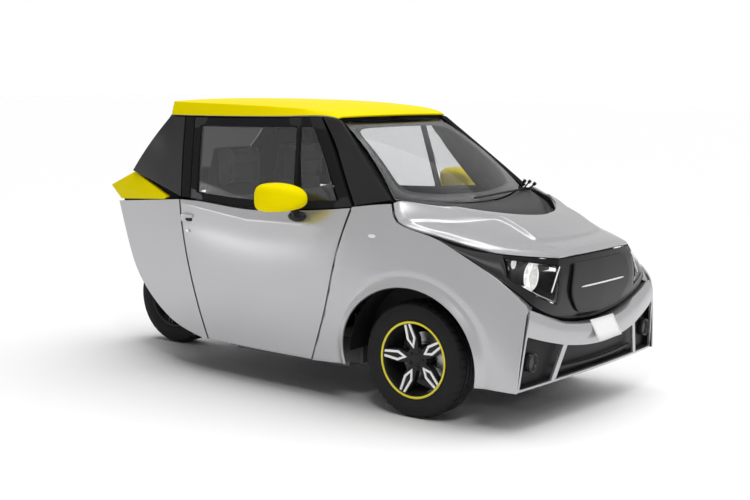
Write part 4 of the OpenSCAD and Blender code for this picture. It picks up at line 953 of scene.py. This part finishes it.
LINING = [((x, y, 0.5), (x, y, high)) for x, y, high in (
    (-0.63, 0.53, 0.94), (-0.8, 0.512, 0.965), (-1.0, 0.465, 1.015), (-1.14, 0.425, 1.04))]
DOOR_LINE = ((0.2744, 0.6536, 0.2), (0.331, 0.6797, 0.32), (0.3814, 0.6962, 0.44), (0.4134, 0.7021, 0.56),
             (0.436, 0.6977, 0.68), (0.46, 0.6834, 0.8), (0.4811, 0.6681, 0.88), (0.5013, 0.6509, 0.95))
WING_JOINT = [((x, y, low), (x, y, high)) for x, y, low, high in (
    (-0.69, 0.5876, 0.925, 0.9403), (-0.8, 0.5652, 0.9127, 0.966), (-0.9, 0.5424, 0.902, 0.9892),
    (-1.0, 0.5179, 0.8941, 1.0125), (-1.1, 0.4917, 0.8869, 1.0358), (-1.15, 0.479, 0.8835, 1.02),
    (-1.22, 0.4625, 0.8745, 0.94), (-1.285, 0.446, 0.868, 0.885))]
LIP_JOINT = ((1.4515, 0.6507, 0.2156), (1.4691, 0.5312, 0.2207), (1.4844, 0.3984, 0.2253),
             (1.4954, 0.2656, 0.2285), (1.502, 0.1328, 0.2304), (1.5042, 0.0, 0.2311))
MASK_JOINT = ((1.47, 0.0, 0.464), (1.4683, 0.1013, 0.471), (1.4667, 0.2017, 0.4787), (1.4656, 0.2927, 0.4901),
              (1.464, 0.378, 0.512), (1.4608, 0.479, 0.5489), (1.452, 0.56, 0.586))
SEALS = (
    (SCREEN_JOINT, (-0.02, -0.014, -0.014), (-0.012, -0.03, -0.014)),
    (DOOR_JOINT, (0.03, -0.037, 0), (-0.07, -0.034, 0)),
    (POST_JOINT, (0.015, -0.037, 0), (-0.045, -0.037, 0)),
    (TAIL_JOINT, (0.02, -0.016, 0), (0.022, -0.03, -0.024)),
    (ROOF_REAR_JOINT, (0, 0, 0), (0.01, 0, -0.08)),
    (ROOF_FRONT_JOINT, (0, 0, 0), (-0.004, 0, -0.045)),
    (ROOF_SIDE_JOINT, (0, 0, 0), (0, 0, -0.065)),
    (LINING, (0, 0, 0), (0, -0.004, 0)),
    (DOOR_LINE, (0, -0.004, 0), (0.008, 0.0012, 0)),
    (WING_JOINT, (0, -0.02, -0.03), (0, -0.024, 0.025)),
    (LIP_JOINT, (-0.008, 0, 0.004), (-0.06, 0, 0.018)),
    (MASK_JOINT, (-0.018, 0, 0.03), (-0.028, 0, -0.04)),
)
LEDGE = (((1.465, 0.634, 0.528), (1.464, 0.588, 0.562)), ((1.465, 0.6263, 0.56), (1.455, 0.545, 0.578)),
         ((1.448, 0.6232, 0.594), (1.447, 0.57, 0.596)), ((1.422, 0.625, 0.622), (1.418, 0.597, 0.63)),
         ((1.37, 0.6334, 0.664), (1.359, 0.6113, 0.671)), ((1.318, 0.6423, 0.704), (1.3, 0.62, 0.706)),
         ((1.25, 0.6541, 0.74), (1.2414, 0.6287, 0.7377)))


def strip(bm, side, joint, near, far):
    """Band along a joint: each of its points, or pairs of points, moved by a near and by a far offset."""
    rows = []
    for row in joint:
        first, second = row if len(row) == 2 else (row, row)
        rows.append([bm.verts.new((x + dx, side * (y + dy), z + dz))
                     for (x, y, z), (dx, dy, dz) in ((first, near), (second, far))])
    for a, b in zip(rows, rows[1:]):
        bridge(bm, a, b, (0,))


# Black of the rubber seals and of the dark sheets that stand as painted shade in the joints.
seal_and_shade_black = tinted("seal_and_shade_black", (0.01, 0.01, 0.011), 0.8, grain=500.0, depth=0.2, Specular_IOR_Level=0.1)
for side, name in SIDES:
    bm = bmesh.new()
    for joint, near, far in SEALS:
        strip(bm, side, joint, near, far)
    fasten(thicken(set_piece("seals_" + name, bm, seal_and_shade_black, sharp=40), 0.003), "body", "trim_black")
    bm = bmesh.new()
    strip(bm, side, LEDGE, (-0.008, -0.003, -0.004), (-0.008, 0.002, -0.004))
    fasten(thicken(set_piece("nose_ledge_" + name, bm, silver_paint), 0.002), "body", "paint_silver")

# Headlamps: clear moulded covers over round silvered reflectors, a small lamp beside each and a
# thin light strip at the inner edge.
lamp_clear = poured_glass("lamp_clear", (0.97, 0.97, 0.97), 1.15, rough=0.03, grain=30.0, depth=0.01)
# The reflectors and the small lamps glow faintly: painted light for the brightness of their silvering.
glowing_reflector = tinted("glowing_reflector", (0.85, 0.85, 0.84), 0.2, 0.6, grain=200.0, depth=0.06,
                    Emission_Strength=0.42, Emission_Color=(1, 1, 0.97, 1))
LAMP, LAMP_R = (1.318, 0.424, 0.691), 0.067
SMALL_LAMP, SMALL_R = (1.292, 0.486, 0.749), 0.023
REFLECTOR = ((0.62, 0.0), (0.6, 0.14), (0.52, 0.16), (0.5, 0.45), (0.56, 0.72), (0.66, 0.88), (0.69, 0.93),
             (0.72, 0.96), (0.7, 1.0))
BUCKET = ((0.68, 1.0), (0.66, 1.03), (0.5, 1.03), (0.06, 0.62), (0.0, 0.0))
STRIP_SECTION = ((-1, -0.003), (-1, 0.001), (-0.5, 0.0025), (0.5, 0.0025), (1, 0.001), (1, -0.003))


def lamp_turning(bm, profile, side, centre, radius, steps, ribs):
    """Round lamp part facing forward, pleated into ribs between its middle and its rim."""
    x, y, z = centre
    rings = []
    for k in range(steps):
        turn = 2 * math.pi * k / steps
        pleat = ribs if k % 4 < 2 else 0.0
        rings.append([bm.verts.new((x + radius * (d + (pleat if 0.3 < q < 0.8 else 0.0)),
                                    side * y + radius * q * math.cos(turn), z + radius * q * math.sin(turn)))
                      for d, q in profile])
    for near, far in zip(rings, rings[1:] + rings[:1]):
        bridge(bm, near, far, range(len(profile) - 1))


def loose_parts(bm):
    """Separate shells of a mesh, the longest first, each as a set of faces."""
    left = set(bm.faces)
    parts = []
    while left:
        todo = [left.pop()]
        part = set(todo)
        while todo:
            for line in todo.pop().edges:
                for face in line.link_faces:
                    if face in left:
                        left.discard(face)
                        part.add(face)
                        todo.append(face)
        reach = [v.co.x for face in part for v in face.verts]
        parts.append((max(reach) - min(reach), part))
    return [part for length, part in sorted(parts, key=lambda row: row[0], reverse=True)]


for side, name in SIDES:
    bm = node_mesh("headlamp_" + name)
    spare = [face for part in loose_parts(bm)[1:] for face in part]
    bmesh.ops.delete(bm, geom=spare, context="FACES")
    join_quads(bm)
    firm = bm.edges.layers.float.new("crease_edge")
    for line in bm.edges:
        line[firm] = 1.0 if math.degrees(line.calc_face_angle(0)) > FOLD else 0.0
    for face in bm.faces:
        lines = face.edges
        face.material_index = int(any(lines[i][firm] * lines[(i + 2) % len(lines)][firm] > 0 for i in (0, 1)))
    cover = set_piece("lamp_cover_" + name, bm, [lamp_clear, inner_black])
    subdivide(cover, 2)
    fasten(cover, "body", "lamp_clear", "headlamp_" + name)
    big, small = (LAMP, LAMP_R, 48), (SMALL_LAMP, SMALL_R, 32)
    for piece, profile, bowls, ribs, coat, slot, sharp in (
            ("lamp_reflector_", REFLECTOR, (big,), 0.09, glowing_reflector, "lamp_clear", 25),
            ("small_lamp_", REFLECTOR, (small,), 0.06, glowing_reflector, "lamp_clear", 25),
            ("lamp_buckets_", BUCKET, (big, small), 0.0, inner_black, "trim_black", 40)):
        bm = bmesh.new()
        for centre, radius, steps in bowls:
            lamp_turning(bm, profile, side, centre, radius, steps, ribs)
        fasten(set_piece(piece + name, bm, coat, sharp), "body", slot)
    low, high = Vector((1.476, side * 0.431, 0.63)), Vector((1.472, side * 0.356, 0.74))
    out, wide = Vector((0.8, side * 0.58, 0.1)).normalized(), Vector((-0.5, side * 0.8, 0.0)).normalized()
    bm = bmesh.new()
    rows = []
    for t in (0.0, 0.06, 0.5, 0.94, 1.0):
        half = 0.0034 if 0.0 < t < 1.0 else 0.0015
        rows.append([bm.verts.new(low.lerp(high, t) + wide * half * w + out * h) for w, h in STRIP_SECTION])
    close_tube(bm, rows)
    fasten(set_piece("light_strip_" + name, bm, bar_white, sharp=50), "body", "lamp_clear")

# Tail lamps: red moulded lenses with a fine fluting and black cut edges, set on the rear panel.
lens_red = tinted("lens_red", (0.22, 0.003, 0.005), 0.22, grain=300.0, depth=0.1, Specular_IOR_Level=0.25)
place = add_node(lens_red.node_tree, "TexCoord").outputs["Object"]
flutes = add_node(lens_red.node_tree, "TexWave", {"Scale": 55.0, "Vector": place}, bands_direction="Y")
emboss(lens_red, flutes.outputs["Fac"], 0.6, 0.003)
press_panel("tail_lamps", [lens_red, trim_black], edge=0.004, dark_edge=any_edge)

# Number plate: blank white sheet, bent to the bumper and screwed to its middle, leaning forward at
# its lower edge.
plate_white = tinted("plate_white", (0.88, 0.88, 0.88), 0.35, grain=300.0, depth=0.03)
PLATE_HALF, PLATE_BEND = 0.115, 0.25
PLATE_LINE = ((1.511, 0.467), (1.528, 0.4355), (1.545, 0.404), (1.562, 0.3725))
bm = bmesh.new()
rows = []
for i in range(9):
    y = -PLATE_HALF + 2 * PLATE_HALF * i / 8
    rows.append([bm.verts.new((x - PLATE_BEND * y * y, y, z)) for x, z in PLATE_LINE])
for near, far in zip(rows, rows[1:]):
    bridge(bm, far, near, (0, 1, 2))
fasten(thicken(set_piece("number_plate", bm, plate_white), 0.003), "body", "case_grey")

# Door handles, locks and side repeaters: a flap over a cup near the rear edge of each door, with a black
# patch as painted shade in the hollow under the flap, a round lock under the handle and a small clear
# lamp on each fender, all pushed in from outside.
chrome = tinted("chrome", (0.8, 0.8, 0.8), 0.18, 0.9, grain=300.0, depth=0.05, spread=0.04)
CROWN = ((1.0, -0.6), (1.0, 0.2), (0.93, 0.72), (0.6, 0.95), (0.25, 1.0))


def badge(name, centre, out, along, half, depth, power, coat, body, slot):
    """Crowned plate with a rounded outline, laid on a surface."""
    centre, out, along = Vector(centre), Vector(out).normalized(), Vector(along).normalized()
    up = out.cross(along)
    bm = bmesh.new()
    close_tube(bm, [[bm.verts.new(centre + out * depth * lift + along * half[0] * scale * c
                                  + up * half[1] * scale * s) for c, s in soft_square(power)]
                    for scale, lift in CROWN])
    fasten(set_piece(name, bm, coat, sharp=50), body, slot)


for side, name in SIDES:
    door = "door_" + name
    slope, along = (0.07, side, 0.02), (1, -side * 0.07, 0.03)
    badge("handle_cup_" + name, (-0.59, side * 0.6187, 0.832), slope, along, (0.056, 0.029), 0.003, 0.7,
          silver_paint, door, "paint_silver")
    # Black patch in the hollow under the flap: painted shade.
    badge("hollow_shade_" + name, (-0.584, side * 0.6208, 0.8265), slope, along, (0.027, 0.0125), 0.003, 0.8,
          trim_black, door, "trim_black")
    badge("handle_flap_" + name, (-0.595, side * 0.6234, 0.843), slope, along, (0.043, 0.012), 0.011, 0.6,
          silver_paint, door, "paint_silver")
    badge("door_lock_" + name, (-0.59, side * 0.6275, 0.765), slope, (1, -side * 0.07, 0), (0.0085, 0.0085),
          0.0035, 1.0, chrome, door, "steel")
    badge("repeater_" + name, (0.652, side * 0.6765, 0.84), (0, side, 0.12), (1, 0, 0), (0.021, 0.0085),
          0.004, 0.8, bar_white, "body", "lamp_clear")
